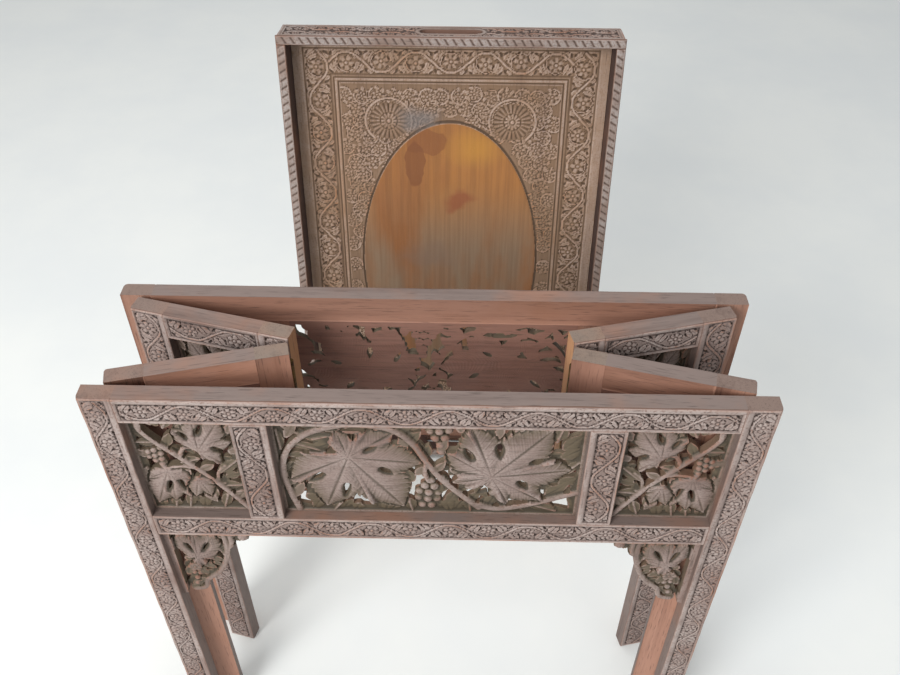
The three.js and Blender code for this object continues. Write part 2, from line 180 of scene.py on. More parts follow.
def smooth_line(points: Sequence[Point], step: float) -> np.ndarray:
    """Draws a flowing line through a few points.

    Args:
        points: The points, in millimetres.
        step: About the length of one piece of the line.

    Returns:
        The points of the line, one row each.
    """
    knots = np.array([points[0], *points, points[-1]], float)
    line = [knots[1]]
    for before, start, end, after in zip(knots, knots[1:], knots[2:], knots[3:]):
        count = max(1, round(float(np.linalg.norm(end - start)) / step))
        for share in np.linspace(0, 1, count + 1)[1:]:
            bend = 2 * start + share * (end - before)
            bend += share**2 * (2 * before - 5 * start + 4 * end - after)
            bend += share**3 * (3 * start - before - 3 * end + after)
            line.append(bend / 2)
    return np.array(line)


class Relief:
    """A carved face: heights above the board's plain face on a grid, and where there is wood."""

    DEEP = 40.0  # the way into or out of the wood, before an outline is laid

    def __init__(self, width: float, length: float, step: float, level: float,
                 pierced: bool = False) -> None:
        """Starts with a flat face.

        Args:
            width: Size across the board.
            length: Size along the board.
            step: About the size of one grid cell.
            level: Height of the flat face.
            pierced: Whether there is wood only where a shape is laid.
        """
        self.width = width
        self.length = length
        self.cells = (max(2, round(width / step)), max(2, round(length / step)))
        self.step = width / self.cells[0]
        across = np.linspace(0, width, self.cells[0] + 1)
        along = np.linspace(0, length, self.cells[1] + 1)
        self.u, self.v = np.meshgrid(across, along, indexing="ij")
        self.height = np.full(self.u.shape, float(level))
        self.wood = np.full(self.u.shape, -self.DEEP if pierced else self.DEEP)
        self.flow = np.zeros(self.u.shape)
        self.edge = np.zeros(self.u.shape)
        self.plain = np.zeros(self.u.shape, bool)
        self.top = level
        self.pierced = pierced
        self.gouge = 0.0

    def near(self, points: Sequence[Point], margin: float) -> Area:
        """Finds the part of the grid round some points.

        Args:
            points: The points.
            margin: How far past them the part reaches.

        Returns:
            The slices of the grid.
        """
        low = np.min(points, axis=0) - margin
        high = np.max(points, axis=0) + margin
        scale = [self.cells[0] / self.width, self.cells[1] / self.length]
        return tuple(
            slice(max(0, int(low[a] * scale[a])), max(0, int(high[a] * scale[a]) + 2))
            for a in (0, 1)
        )

    def lay(self, area: Area, inside: np.ndarray, height: np.ndarray, over: bool = False) -> None:
        """Lays one carved shape on the board, with a gouge cut round it in solid wood.

        Args:
            area: The part of the grid that holds the shape.
            inside: How far each point lies inside the shape's outline.
            height: The shape's heights.
            over: Whether the shape hides what it lies on, also where that is higher.
        """
        shown = inside > (-self.step if self.pierced else 0)
        if self.gouge and over:
            cut = self.gouge * np.exp(-((inside / 0.7) ** 2))
            self.height[area] = np.minimum(self.height[area], self.top - cut)
        old = self.height[area]
        self.height[area] = np.where(shown, height if over else np.maximum(old, height), old)
        if self.pierced:
            self.wood[area] = np.maximum(self.wood[area], inside)

    def beside(self, root: Point, tip: Point, area: Area) -> list[Any]:
        """Measures the grid along a line and off it.

        Args:
            root: Where the line starts.
            tip: Where it ends.
            area: The part of the grid to measure.

        Returns:
            The way along the line, the distance off it, the way as a share of the line from 0
            to 1, the distance from the line's nearest point, and the line's length.
        """
        run = np.subtract(tip, root)
        length = float(np.hypot(*run))
        right, up = self.u[area] - root[0], self.v[area] - root[1]
        along = (right * run[0] + up * run[1]) / length
        off = np.abs(up * run[0] - right * run[1]) / length
        share = np.clip(along / length, 0, 1)
        return [along, off, share, np.hypot(off, along - share * length), length]

    def within(self, low: Point, high: Point) -> np.ndarray:
        """How far each point lies inside a rectangle."""
        sides = (self.u - low[0], high[0] - self.u, self.v - low[1], high[1] - self.v)
        return np.minimum.reduce(sides)

    def sink(self, low: Point, high: Point, depth: float) -> None:
        """Lowers the ground inside a rectangle.

        Args:
            low: Its lowest corner.
            high: Its highest corner.
            depth: How far the ground goes down.
        """
        self.height -= depth * np.clip(self.within(low, high) / 0.8, 0, 1)

    def line(self, low: Point, high: Point, width: float = 1.1, depth: float = 0.9) -> None:
        """Cuts a thin groove round a rectangle.

        Args:
            low: Its lowest corner.
            high: Its highest corner.
            width: Width of the groove.
            depth: Depth of the groove.
        """
        share = np.abs(self.within(low, high)) / (width / 2 + self.step / 2)
        self.height -= depth * np.clip(1.2 - share, 0, 1)

    def strip(self, low: Point, high: Point, height: float) -> None:
        """Leaves plain wood in a rectangle.

        Args:
            low: Its lowest corner.
            high: Its highest corner.
            height: Height of its face.
        """
        self.lay(WHOLE, self.within(low, high) + 1e-3, np.full(self.u.shape, height), True)

    def wear(self, left: float, right: float, bottom: float, top: float, seed: int) -> None:
        """Rounds the edges of the carved face unevenly, as years of handling do.

        Args:
            left: Radius at the edge where u is 0.
            right: Radius at the other long edge.
            bottom: Radius at the edge where v is 0.
            top: Radius at the far end.
            seed: Start of the random wear.
        """
        rng = np.random.default_rng(seed)
        sides = [(left, self.u, self.v), (right, self.width - self.u, self.v),
                 (bottom, self.v, self.u), (top, self.length - self.v, self.u)]
        for radius, distance, run in sides:
            if radius <= 0:
                continue
            phases = rng.uniform(0, 2 * math.pi, 3)
            waves = sum(np.sin(run / size + p) for size, p in zip((7, 17, 41), phases)) / 3
            reach = radius * (1 + 0.35 * waves)
            gap = np.clip(reach - distance, 0, None)
            self.height -= reach - np.sqrt(np.maximum(reach**2 - gap**2, 0))
            self.edge = np.maximum(self.edge, np.clip(1 - distance / (reach + 1), 0, 1))

    def stem(self, points: Sequence[Point], width: float, height: float, end: float = 1.0,
             over: bool = False) -> None:
        """Carves a rounded stem through some points.

        Args:
            points: Where it runs.
            width: Its width at the start.
            height: Height of its crown.
            end: Its width at the end, as a share of that at the start.
            over: Whether it hides what it crosses.
        """
        line = smooth_line(points, 2.4 * self.step)
        radii = np.linspace(width / 2, width / 2 * end, len(line))
        inside, crown = (np.full(self.u.shape, -FAR) for _ in range(2))
        for start, stop, radius in zip(line, line[1:], radii):
            area = self.near([start, stop], radius + 2.5)
            right, up = self.u[area] - start[0], self.v[area] - start[1]
            run = stop - start
            share = np.clip((right * run[0] + up * run[1]) / (run @ run), 0, 1)
            distance = np.hypot(right - share * run[0], up - share * run[1])
            nearer = radius - distance > inside[area]
            rounded = height - 0.4 * radius * (distance / radius) ** 2
            crown[area] = np.where(nearer, rounded, crown[area])
            inside[area] = np.maximum(inside[area], radius - distance)
        area = self.near(line, width + 2.5)
        self.lay(area, inside[area], crown[area], over)

    def leaflet(self, root: Point, tip: Point, width: float, height: float,
                over: bool = False) -> None:
        """Carves a small almond leaf with a sunk middle vein.

        Args:
            root: Where it starts.
            tip: Where it ends.
            width: Its widest part.
            height: Height of its rims.
            over: Whether it hides what it lies on.
        """
        area = self.near([root, tip], width / 2 + 2.2)
        _, off, share, distance, _ = self.beside(root, tip, area)
        inside = width / 2 * np.sin(np.pi * share**0.85) ** 0.8 - distance
        bowl = 0.5 * np.exp(-((off / 0.8) ** 2)) + 0.25 * (off / (width / 2)) ** 2
        self.lay(area, inside, height - bowl * min(1.0, width / 4), over)

    def nick(self, root: Point, tip: Point, width: float, depth: float) -> None:
        """Cuts a short deep gouge between the shapes.

        Args:
            root: Where it starts.
            tip: Where it ends.
            width: Its widest part.
            depth: How deep it is.
        """
        area = self.near([root, tip], width + self.step)
        _, _, share, distance, _ = self.beside(root, tip, area)
        inside = width / 2 * np.sin(np.pi * share) ** 0.7 - distance
        self.height[area] -= depth * np.clip(0.4 + 2 * inside / width, 0, 1)

    def thicket(self, pitch: float, size: Point, heights: Point, gaps: float, seed: int) -> None:
        """Fills the field with small leaves that grow from its middle towards its edges.

        Args:
            pitch: About the distance between leaves.
            size: Their length and width.
            heights: The lowest and the highest of them.
            gaps: The share of places left open.
            seed: Start of the random placing.
        """
        rng = np.random.default_rng(seed)
        for u in np.arange(pitch / 3, self.width, pitch):
            for v in np.arange(pitch / 3, self.length, pitch):
                root = rng.uniform(-0.3, 0.3, 2) * pitch + (u, v)
                away = np.array([(root[0] - self.width / 2) / self.width,
                                 1.3 * (root[1] - self.length / 2) / self.length])
                turn = math.atan2(away[1], away[0]) + rng.normal(0, 0.7)
                reach = size[0] * rng.uniform(0.75, 1.2)
                tip = root + reach * np.array([math.cos(turn), math.sin(turn)])
                if rng.uniform() > gaps:
                    height = rng.uniform(*heights)
                    self.leaflet(tuple(root), tuple(tip), size[1] * rng.uniform(0.8, 1.2), height)

    def lobe(self, root: Point, tip: Point, area: Area, breadth: float) -> list[np.ndarray]:
        """Works out one lobe of a vine leaf.

        Args:
            root: Where the leaf's stalk meets it.
            tip: The lobe's tip.
            area: The part of the grid to work on.
            breadth: Half the lobe's width, as a share of its length.

        Returns:
            How near each point is to the lobe's vein, as a share of the half width; how far inside
            the outline it is; its place along the side veins; and its share of the length.
        """
        along, off, share, _, length = self.beside(root, tip, area)
        half = length * breadth * (0.3 + 0.7 * np.sin(np.pi * share**1.2)) * np.sqrt(1 - share**5)
        teeth = np.where(share > 0.25, 0.84 + 0.16 * ((along - 0.5 * off) / 8.5 % 1), 0.92)
        half = np.maximum(half * teeth, 0.2)
        inside = 0.8 * half - 0.8 * np.hypot(off, 1.3 * (along - share * length))
        return [off / half, inside, along - 0.9 * off, share]

    def vine_leaf(self, root: Point, tips: Sequence[Point], height: float, fall: float = 3.2,
                  breadth: float = 0.36) -> None:
        """Carves a big lobed vine leaf with toothed edges and a herringbone of veins.

        Args:
            root: Where the stalk meets the leaf.
            tips: The tips of its lobes.
            height: Height of the leaf round its root.
            fall: How far its tips bend down.
            breadth: Half a lobe's width, as a share of its length.
        """
        area = self.near([root, *tips], 8)
        inside = np.full(self.u[area].shape, -FAR)
        weights, dome, flow = (np.zeros(inside.shape) for _ in range(3))
        for tip in tips:
            off, within, vein, share = self.lobe(root, tip, area, breadth)
            weight = np.exp(-9 * np.clip(off, 0, 4)) + 1e-12
            lobe = -fall * share**1.6 - 2.4 * np.clip(off, 0, 1) ** 2
            lobe -= 0.9 * np.exp(-((off / 0.08) ** 2))
            lobe -= 0.09 * (1 + np.cos(2 * np.pi * vein / 4.8)) * np.clip(off * 4, 0, 1)
            inside = np.maximum(inside, within)
            weights += weight
            dome += weight * lobe
            flow += weight * vein
        dome = height + dome / weights - 1.2 * np.clip(1 - inside / 1.6, 0, 1) ** 2
        self.lay(area, inside, dome, True)
        self.flow[area] = np.where(inside > 0, flow / weights, self.flow[area])

    def pierce(self, root: Point, tip: Point, width: float, fall: float = 2.6) -> None:
        """Cuts a hole shaped like a drop, with its rim bent down.

        Args:
            root: Its blunt end.
            tip: Its sharp end.
            width: Its widest part.
            fall: How far the wood round it bends down.
        """
        area = self.near([root, tip], width / 2 + 6)
        _, _, share, distance, _ = self.beside(root, tip, area)
        half = width / 2 * np.sqrt(1 - share) * (0.6 + 0.4 * np.sin(np.pi * share))
        outside = distance - half
        self.height[area] -= fall * np.exp(-(np.clip(outside, 0, None) / 2.2) ** 2)
        self.wood[area] = np.minimum(self.wood[area], outside)

    def flower(self, centre: Point, radius: float, petals: int, height: float,
               turn: float = 0.0, heart: float = 0.27, over: bool = True) -> None:
        """Carves a flower seen from above.

        Args:
            centre: Its middle.
            radius: Its radius.
            petals: How many petals it has.
            height: Height of its petals.
            turn: Where its first petal points, in radians.
            heart: Radius of its button, as a share of the flower's.
            over: Whether it hides what it lies on.
        """
        area = self.near([centre], radius + 2.2)
        right, up = self.u[area] - centre[0], self.v[area] - centre[1]
        distance = np.hypot(right, up)
        petal = np.abs(np.cos(petals * (np.arctan2(up, right) - turn) / 2))
        notch = 0.25 if petals < 12 else 0.1
        inside = radius * (1 - notch + notch * petal**0.7) - distance
        share = distance / radius
        cup = 1.3 * (1 - petal) ** 2 * np.clip(3 * share - 0.9, 0, 1) + 0.4 * share
        button = 0.5 * np.cos(np.clip(share / heart, 0, 1) * math.pi / 2)
        ring = 1.0 * np.exp(-(((share - heart) * radius / 0.9) ** 2))
        self.lay(area, inside, height - cup - ring + button, over)

    def berry(self, centre: Point, radius: float, height: float) -> None:
        """Carves one round berry.

        Args:
            centre: Its middle.
            radius: Its radius.
            height: Height of its top.
        """
        area = self.near([centre], radius + self.step)
        distance = np.hypot(self.u[area] - centre[0], self.v[area] - centre[1])
        drop = radius - np.sqrt(np.clip(radius**2 - distance**2, 0, None))
        self.lay(area, radius - distance, height - drop, False)

    def grapes(self, root: Point, tip: Point, width: float, radius: float, height: float) -> None:
        """Carves a bunch of grapes that narrows to its tip.

        Args:
            root: The wide end's middle.
            tip: The narrow end.
            width: Width of the wide end.
            radius: Radius of one grape.
            height: Height of the middle grapes.
        """
        run = np.subtract(tip, root)
        length = float(np.hypot(*run))
        run = run / length
        rows = max(2, round(length / (1.65 * radius)))
        for row in range(rows):
            share = row / (rows - 1)
            count = max(1, round((1 - 0.85 * share) * width / (2 * radius)))
            for place in range(count):
                side = (place - (count - 1) / 2) * 1.8 * radius
                centre = np.add(root, run * share * length) + side * np.array([-run[1], run[0]])
                self.berry(tuple(centre), radius, height - 0.02 * side**2)

    def vine(self, start: Point, end: Point, pitch: float, swing: float, height: float,
             seed: int, curls: bool = False) -> None:
        """Carves a running vine: a stem that weaves between flowers, with leaves.

        Args:
            start: Where the band starts.
            end: Where it ends.
            pitch: About the distance between flowers.
            swing: How far the stem swings to each side.
            height: Height of its parts.
            seed: Start of the small random differences.
            curls: Whether a tendril curls round each flower.
        """
        rng = np.random.default_rng(seed)
        run = np.subtract(end, start)
        length = float(np.hypot(*run))
        run = run / length
        bays = max(1, round(length / pitch))
        pitch = length / bays

        def at(along: float, off: float) -> Point:
            """A point by its distance along the band and off its middle."""
            jitter = rng.uniform(-0.35, 0.35, 2)
            return (start[0] + run[0] * along - run[1] * off + jitter[0],
                    start[1] + run[1] * along + run[0] * off + jitter[1])

        line = [at(0, 0)]
        sign = 1
        for bay in range(bays):
            middle = (bay + 0.5) * pitch
            line += [at(middle - 0.22 * pitch, 0.82 * sign * swing), at(middle, sign * swing)]
            line += [at(middle + 0.22 * pitch, 0.82 * sign * swing), at(middle + pitch / 2, 0)]
            self._bay(at, middle, pitch, sign * swing, height, int(rng.integers(5, 8)))
            if curls:
                turns = np.linspace(0.4, 5.4, 12)
                curl = [at(middle + swing * math.cos(a), swing * sign * math.sin(a)) for a in turns]
                self.stem(curl, 0.17 * swing, height, 0.6, True)
            sign = -sign
        self.stem(line, 0.24 * swing, height + 0.1, 1.0, True)

    def _bay(self, at: Callable[[float, float], Point], middle: float, pitch: float, swing: float,
             height: float, petals: int) -> None:
        """Carves what lies between two crossings of a running vine.

        Args:
            at: Gives a point by its distance along the band and off its middle.
            middle: The middle of the bay, along the band.
            pitch: The bay's length.
            swing: How far the stem swings here, with its sign.
            height: Height of its parts.
            petals: How many petals its flower has.
        """
        size = abs(swing)

        def spots(rows: Sequence[Sequence[float]]) -> Iterator[tuple[Point, Point, Sequence[float]]]:
            """The roots and the tips of a table's shapes, on both sides of the middle."""
            for way in (-1, 1):
                for root_along, root_off, tip_along, tip_off, *rest in rows:
                    root = at(middle - way * root_along * pitch, root_off * swing)
                    yield root, at(middle - way * tip_along * pitch, tip_off * swing), rest

        for root, tip, (width,) in spots(BAY_LEAVES):
            self.leaflet(root, tip, width * size, height, True)
        self.flower(at(middle, -0.12 * swing), 0.78 * size, petals, height, middle)
        for root, tip, _ in spots(BAY_PITS):
            self.nick(root, tip, 0.2 * size, 0.9 * self.gouge)

    def outline(self, points: Sequence[Point]) -> None:
        """Cuts the board to a closed outline.

        Args:
            points: The corners of the outline, in order.
        """
        corners = np.array(points, float)
        distance = np.full(self.u.shape, FAR)
        inside = np.zeros(self.u.shape, bool)
        for start, end in zip(corners, np.roll(corners, -1, axis=0)):
            run = end - start
            right, up = self.u - start[0], self.v - start[1]
            share = np.clip((right * run[0] + up * run[1]) / max(run @ run, 1e-9), 0, 1)
            gap = np.hypot(right - share * run[0], up - share * run[1])
            distance = np.minimum(distance, gap)
            if start[1] != end[1]:
                crossing = start[0] + (self.v - start[1]) * run[0] / run[1]
                between = (self.v >= min(start[1], end[1])) & (self.v < max(start[1], end[1]))
                inside ^= between & (self.u < crossing)
        self.wood = np.minimum(self.wood, np.where(inside, distance, -distance))

    def drop_loose(self) -> None:
        """Takes away the wood that nothing joins to the board's edges."""
        solid = self.wood > 0
        held = solid & (self.within((0, 0), (self.width, self.length)) < self.step)
        count = 0
        while held.sum() > count:
            count = held.sum()
            for _ in range(20):
                wide = np.pad(held, 1)
                held = solid & (wide[1:-1, 1:-1] | wide[2:, 1:-1] | wide[:-2, 1:-1]
                                | wide[1:-1, 2:] | wide[1:-1, :-2])
        self.wood = np.where(solid & ~held, -1.0, self.wood)

    def cavity(self, reach: float) -> np.ndarray:
        """How much each point stands above (or lies below) what is round it, from -1 to 1."""
        lifted = self.height - soften(self.height, max(1, round(reach / self.step)))
        return np.clip(lifted / 1.2, -1, 1)


# Of a vine's leaves and of the pits between them: the way along from the bay's middle in bays, and
# the way off the band's middle in swings, of the root and of the tip. A leaf's width is last.
BAY_LEAVES = [
    (-0.48, -0.28, -0.30, -1.12, 0.62), (-0.40, 0.72, -0.24, 1.22, 0.42),
    (-0.36, 0.05, -0.20, -1.10, 0.50),
]
BAY_PITS = [
    (-0.46, -0.95, -0.37, -1.12), (-0.33, 0.42, -0.21, 0.72), (-0.19, -0.62, -0.24, -0.2),
    (-0.10, -1.02, -0.02, -1.12), (-0.47, 0.62, -0.40, 1.08),
]


@dataclass(frozen=True)
class Place:
    """Where a board lies: a corner of its plain face, and its three directions."""

    origin: Vector
    across: Vector
    along: Vector
    out: Vector

    def moved(self, across: float = 0.0, along: float = 0.0, out: float = 0.0) -> "Place":
        """A place further along these directions, in metres."""
        origin = self.origin + self.across * across + self.along * along + self.out * out
        return Place(origin, self.across, self.along, self.out)

    def mirrored(self) -> "Place":
        """The same corner, with the board reaching the other way."""
        return Place(self.origin, -self.across, self.along, self.out)

    def lying(self) -> "Place":
        """The same corner, with the board's length across."""
        return Place(self.origin, self.along, self.across, self.out)

    def matrix(self) -> Matrix:
        """Turns the board's own coordinates into the frame's."""
        turned = Matrix((self.across, self.along, self.out)).transposed().to_4x4()
        return Matrix.Translation(self.origin) @ turned


class Board:
    """The mesh of a carved board, made once and set in each place that takes it."""

    def __init__(self, name: str, relief: Relief, base: float = 0.25, cleft: float = 0.9) -> None:
        """Makes the mesh.

        Args:
            name: The board's name.
            relief: Its carved face.
            base: How far its plain face lies under the metal let into it.
            cleft: Size of the worn edge round its plain face, on a board without openings.
        """
        self.relief = relief
        self.base = base * MM
        self.cleft = cleft * MM
        self.mesh = self._shape(name)
        self._dress()
        LOG.info("%s: %d faces", name, len(self.mesh.polygons))

    def _corners(self) -> tuple[np.ndarray, np.ndarray, np.ndarray]:
        """Moves the grid's points beside an opening onto its outline.

        Returns:
            The points across, the points along, and which cells hold wood.
        """
        relief = self.relief
        wood = relief.wood
        kept = (wood[1:, 1:] + wood[:-1, 1:] + wood[1:, :-1] + wood[:-1, :-1]) > 0
        cells = np.pad(kept.astype(int), 1, mode="edge")
        count = cells[1:, 1:] + cells[:-1, 1:] + cells[1:, :-1] + cells[:-1, :-1]
        beside = (count > 0) & (count < 4)
        slope = np.gradient(wood, relief.step, relief.length / relief.cells[1])
        steep = slope[0] ** 2 + slope[1] ** 2 + 0.05
        shift = np.clip(-wood / np.sqrt(steep), -0.75 * relief.step, 0.75 * relief.step)
        shift = np.where(beside, shift, 0) / np.sqrt(steep)
        across = np.clip(relief.u + shift * slope[0], 0, relief.width)
        along = np.clip(relief.v + shift * slope[1], 0, relief.length)
        return across, along, kept

    def _shape(self, name: str) -> bpy.types.Mesh:
        """Makes the closed body: a plain back, walls, and the carved face.

        Args:
            name: The mesh's name.

        Returns:
            The mesh, in the board's own coordinates.
        """
        relief = self.relief
        across, along, kept = self._corners()
        rows = relief.cells[1] + 1
        body = bmesh.new()
        knot = body.verts.layers.int.new("knot")
        kind = body.faces.layers.float.new("surface")
        bmesh.ops.create_grid(body, x_segments=relief.cells[0], y_segments=relief.cells[1], size=0.5)
        for vert in body.verts:
            i = round((vert.co.x + 0.5) * relief.cells[0])
            j = round((vert.co.y + 0.5) * relief.cells[1])
            vert[knot] = i * rows + j
        gone = []
        for face in body.faces:
            centre = face.calc_center_median()
            i = int((centre.x + 0.5) * relief.cells[0])
            j = int((centre.y + 0.5) * relief.cells[1])
            if not kept[i, j]:
                gone.append(face)
        bmesh.ops.delete(body, geom=gone, context="FACES")
        flat_u, flat_v = across.ravel() * MM, along.ravel() * MM
        for vert in body.verts:
            vert.co = (flat_u[vert[knot]], flat_v[vert[knot]], self.base)
        back = body.faces[:]
        for face in back:
            face[kind] = Surface.BACK.value
        made = bmesh.ops.extrude_face_region(body, geom=back, use_keep_orig=True)["geom"]
        raised = [item for item in made if isinstance(item, bmesh.types.BMVert)]
        tops = {item for item in made if isinstance(item, bmesh.types.BMFace)}
        bmesh.ops.translate(body, verts=raised, vec=(0, 0, relief.top * MM))
        bmesh.ops.recalc_face_normals(body, faces=body.faces)
        for face in body.faces:
            if face in tops:
                face[kind] = Surface.CARVED.value
            elif abs(face.calc_center_median().z - self.base) > 1e-6:
                face[kind] = Surface.CUT.value
                if not relief.pierced and abs(face.normal.y) > 0.7:
                    face[kind] = Surface.END.value
        height = relief.height.ravel() * MM
        for vert in raised:
            vert.co.z = max(height[vert[knot]], 2 * self.base)
        self._thin_out(body, back, tops)
        for edge in body.edges:
            near, far = edge.link_faces[0], edge.link_faces[-1]
            edge.smooth = near[kind] == far[kind] and edge.calc_face_angle(0.0) < SHARP
        mesh = bpy.data.meshes.new(name)
        body.to_mesh(mesh)
        body.free()
        return mesh

    def _thin_out(self, body: bmesh.types.BMesh, back: list[bmesh.types.BMFace],
                  tops: set[bmesh.types.BMFace]) -> None:
        """Joins the flat faces, and wears the edges of the plain face.

        Args:
            body: The board's body.
            back: The faces of its plain side.
            tops: The faces of its carved side.
        """
        knot = body.verts.layers.int["knot"]
        if self.relief.pierced or (self.relief.wood < 0).any():
            flat = set(back)
            rows = self.relief.cells[1] + 1

            def between_tiles(edge: bmesh.types.BMEdge) -> bool:
                """Whether an edge lies between two of the tiles that are joined one by one."""
                ends = [divmod(v[knot], rows) for v in edge.verts]
                return any(ends[0][a] == ends[1][a] and ends[0][a] % TILE == 0 for a in (0, 1))

            inner = [e for e in body.edges if len(e.link_faces) == 2 and flat.issuperset(e.link_faces)]
            seams = [e for e in inner if not between_tiles(e)]
            verts = list({v for e in inner for v in e.verts})
            bmesh.ops.dissolve_limit(body, angle_limit=0.01, verts=verts, edges=seams,
                                     use_dissolve_boundaries=False)
            return
        plain = self.relief.plain.ravel()
        level = [f for f in tops if all(plain[v[knot]] for v in f.verts)]
        if level:
            bmesh.ops.dissolve_faces(body, faces=level, use_verts=True)
        whole = bmesh.ops.dissolve_faces(body, faces=back, use_verts=True)["region"]
        rim = list(whole[0].verts)
        bmesh.ops.inset_region(body, faces=whole, thickness=self.cleft, use_even_offset=True)
        bmesh.ops.translate(body, verts=rim, vec=(0, 0, 0.8 * self.cleft))

    def _dress(self) -> None:
        """Writes what the finishes read onto the mesh."""
        mesh = self.mesh
        relief = self.relief
        knots = np.zeros(len(mesh.vertices), np.int32)
        mesh.attributes["knot"].data.foreach_get("value", knots)
        low = np.percentile(relief.height[relief.wood > 0], 3)
        share = np.clip((relief.height - low) / max(relief.height.max() - low, 0.5), 0, 1)
        values = {"relief": share, "cavity": relief.cavity(2.2), "hollow": relief.cavity(7.0),
                  "flow": relief.flow * MM, "edge": relief.edge}
        for name, grid in values.items():
            layer = mesh.attributes.new(name, "FLOAT", "POINT")
            layer.data.foreach_set("value", grid.ravel()[knots].astype(np.float32))
        points = np.zeros(3 * len(mesh.vertices), np.float32)
        mesh.vertices.foreach_get("co", points)
        spot = mesh.attributes.new("spot", "FLOAT_VECTOR", "POINT")
        spot.data.foreach_set("vector", points)
        mesh.attributes.remove(mesh.attributes["knot"])
        mesh.shade_smooth()

    def set_in(self, place: Place, name: str, body: str, nodes: Sequence[str], slot: Slot,
               finish: bpy.types.Material, seed: int, lengthwise: bool = True) -> bpy.types.Object:
        """Sets a copy of the board in its place.

        Args:
            place: Where it goes.
            name: The piece's name.
            body: The body that it rides on.
            nodes: The CAD nodes that it stands for.
            slot: The record's slot for its finish.
            finish: Its material.
            seed: Makes its grain its own.
            lengthwise: Whether the grain runs along the board's length.

        Returns:
            The finished object.
        """
        mesh = self.mesh.copy()
        mesh.name = name
        count = len(mesh.vertices)
        spots = np.zeros(3 * count, np.float32)
        mesh.attributes["spot"].data.foreach_get("vector", spots)
        spots = spots.reshape(-1, 3)
        order = [1, 0, 2] if lengthwise else [0, 1, 2]
        shift = np.random.default_rng(seed).uniform(0.3, 4.0, 3)
        grain = mesh.attributes.new("grain", "FLOAT_VECTOR", "POINT")
        grain.data.foreach_set("vector", (spots[:, order] + shift).astype(np.float32).ravel())
        matrix = place.matrix()
        mesh.transform(matrix)
        if matrix.determinant() < 0:
            mesh.flip_normals()
        mesh.materials.append(finish)
        return fit(bpy.data.objects.new(name, mesh), body, nodes, slot)


def fit(piece: bpy.types.Object, body: str, nodes: Sequence[str], slot: Slot) -> bpy.types.Object:
    """Links a finished piece to the scene and to the frame.

    Args:
        piece: The piece, with its place in its mesh.
        body: The body that it rides on.
        nodes: The CAD nodes that it stands for.
        slot: The record's slot for its finish; not used.

    Returns:
        The same piece.
    """
    bpy.context.scene.collection.objects.link(piece)
    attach(piece, body)
    if nodes:
        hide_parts(*nodes)
    LOG.info("%s rides on %s", piece.name, body)
    return piece


class Sketch:
    """Short words for wiring the nodes of a material or of a group."""

    def __init__(self, tree: bpy.types.NodeTree) -> None:
        """Starts on a node tree."""
        self.tree = tree

    def node(self, kind: str, inputs: dict[Any, Any] | None = None, **settings: Any) -> Any:
        """Adds a node.

        Args:
            kind: The node's type.
            inputs: What goes into its sockets, a value or another node's output.
            **settings: The node's own settings.

        Returns:
            The node.
        """
        made = self.tree.nodes.new(kind)
        for name, value in settings.items():
            setattr(made, name, value)
        for key, value in (inputs or {}).items():
            socket = made.inputs[key]
            if isinstance(value, bpy.types.NodeSocket):
                self.tree.links.new(value, socket)
            elif isinstance(value, tuple) and socket.type == "RGBA":
                socket.default_value = (*value, 1.0)
            else:
                socket.default_value = value
        return made

    def maths(self, operation: str, first: Any, second: Any = 0.0, clamp: bool = False) -> Any:
        """The result of a sum on two values."""
        inputs = {0: first, 1: second}
        return self.node("ShaderNodeMath", inputs, operation=operation, use_clamp=clamp).outputs[0]

    def mix(self, share: Any, first: Any, second: Any, blend: str = "MIX") -> Any:
        """A mix of two colours."""
        inputs = {0: share, 6: first, 7: second}
        made = self.node("ShaderNodeMix", inputs, data_type="RGBA", blend_type=blend)
        return made.outputs[2]

    def noise(self, vector: Any, scale: float, detail: float = 3.0, rough: float = 0.55) -> Any:
        """Cloudy noise from 0 to 1."""
        inputs = {"Vector": vector, "Scale": scale, "Detail": detail, "Roughness": rough}
        return self.node("ShaderNodeTexNoise", inputs).outputs[0]

    def stretch(self, vector: Any, size: Sequence[float], place: Sequence[float] = (0, 0, 0)) -> Any:
        """A vector scaled and moved."""
        inputs = {"Vector": vector, "Location": tuple(place), "Scale": tuple(size)}
        return self.node("ShaderNodeMapping", inputs).outputs[0]

    def rise(self, value: Any, low: float, high: float) -> Any:
        """Goes smoothly from 0 at low to 1 at high."""
        inputs = {0: value, 1: low, 2: high}
        made = self.node("ShaderNodeMapRange", inputs, interpolation_type="SMOOTHSTEP")
        return made.outputs[0]

    def read(self, name: str, output: str = "Fac") -> Any:
        """What the mesh holds under a name."""
        return self.node("ShaderNodeAttribute", attribute_name=name).outputs[output]

    def coordinates(self) -> Any:
        """The place on the object, in metres."""
        return self.node("ShaderNodeTexCoord").outputs["Object"]


def make_group(name: str, inputs: dict[str, str], outputs: dict[str, str]) -> tuple[Sketch, Any, Any]:
    """Starts a shared shader effect.

    Args:
        name: Its name.
        inputs: The names and types of its inputs.
        outputs: The names and types of its outputs.

    Returns:
        A sketch of its tree, the node with its inputs, and the node with its outputs.
    """
    tree = bpy.data.node_groups.new(name, "ShaderNodeTree")
    for way, sockets in (("INPUT", inputs), ("OUTPUT", outputs)):
        for label, kind in sockets.items():
            tree.interface.new_socket(label, in_out=way, socket_type="NodeSocket" + kind)
    sketch = Sketch(tree)
    return sketch, sketch.node("NodeGroupInput"), sketch.node("NodeGroupOutput")


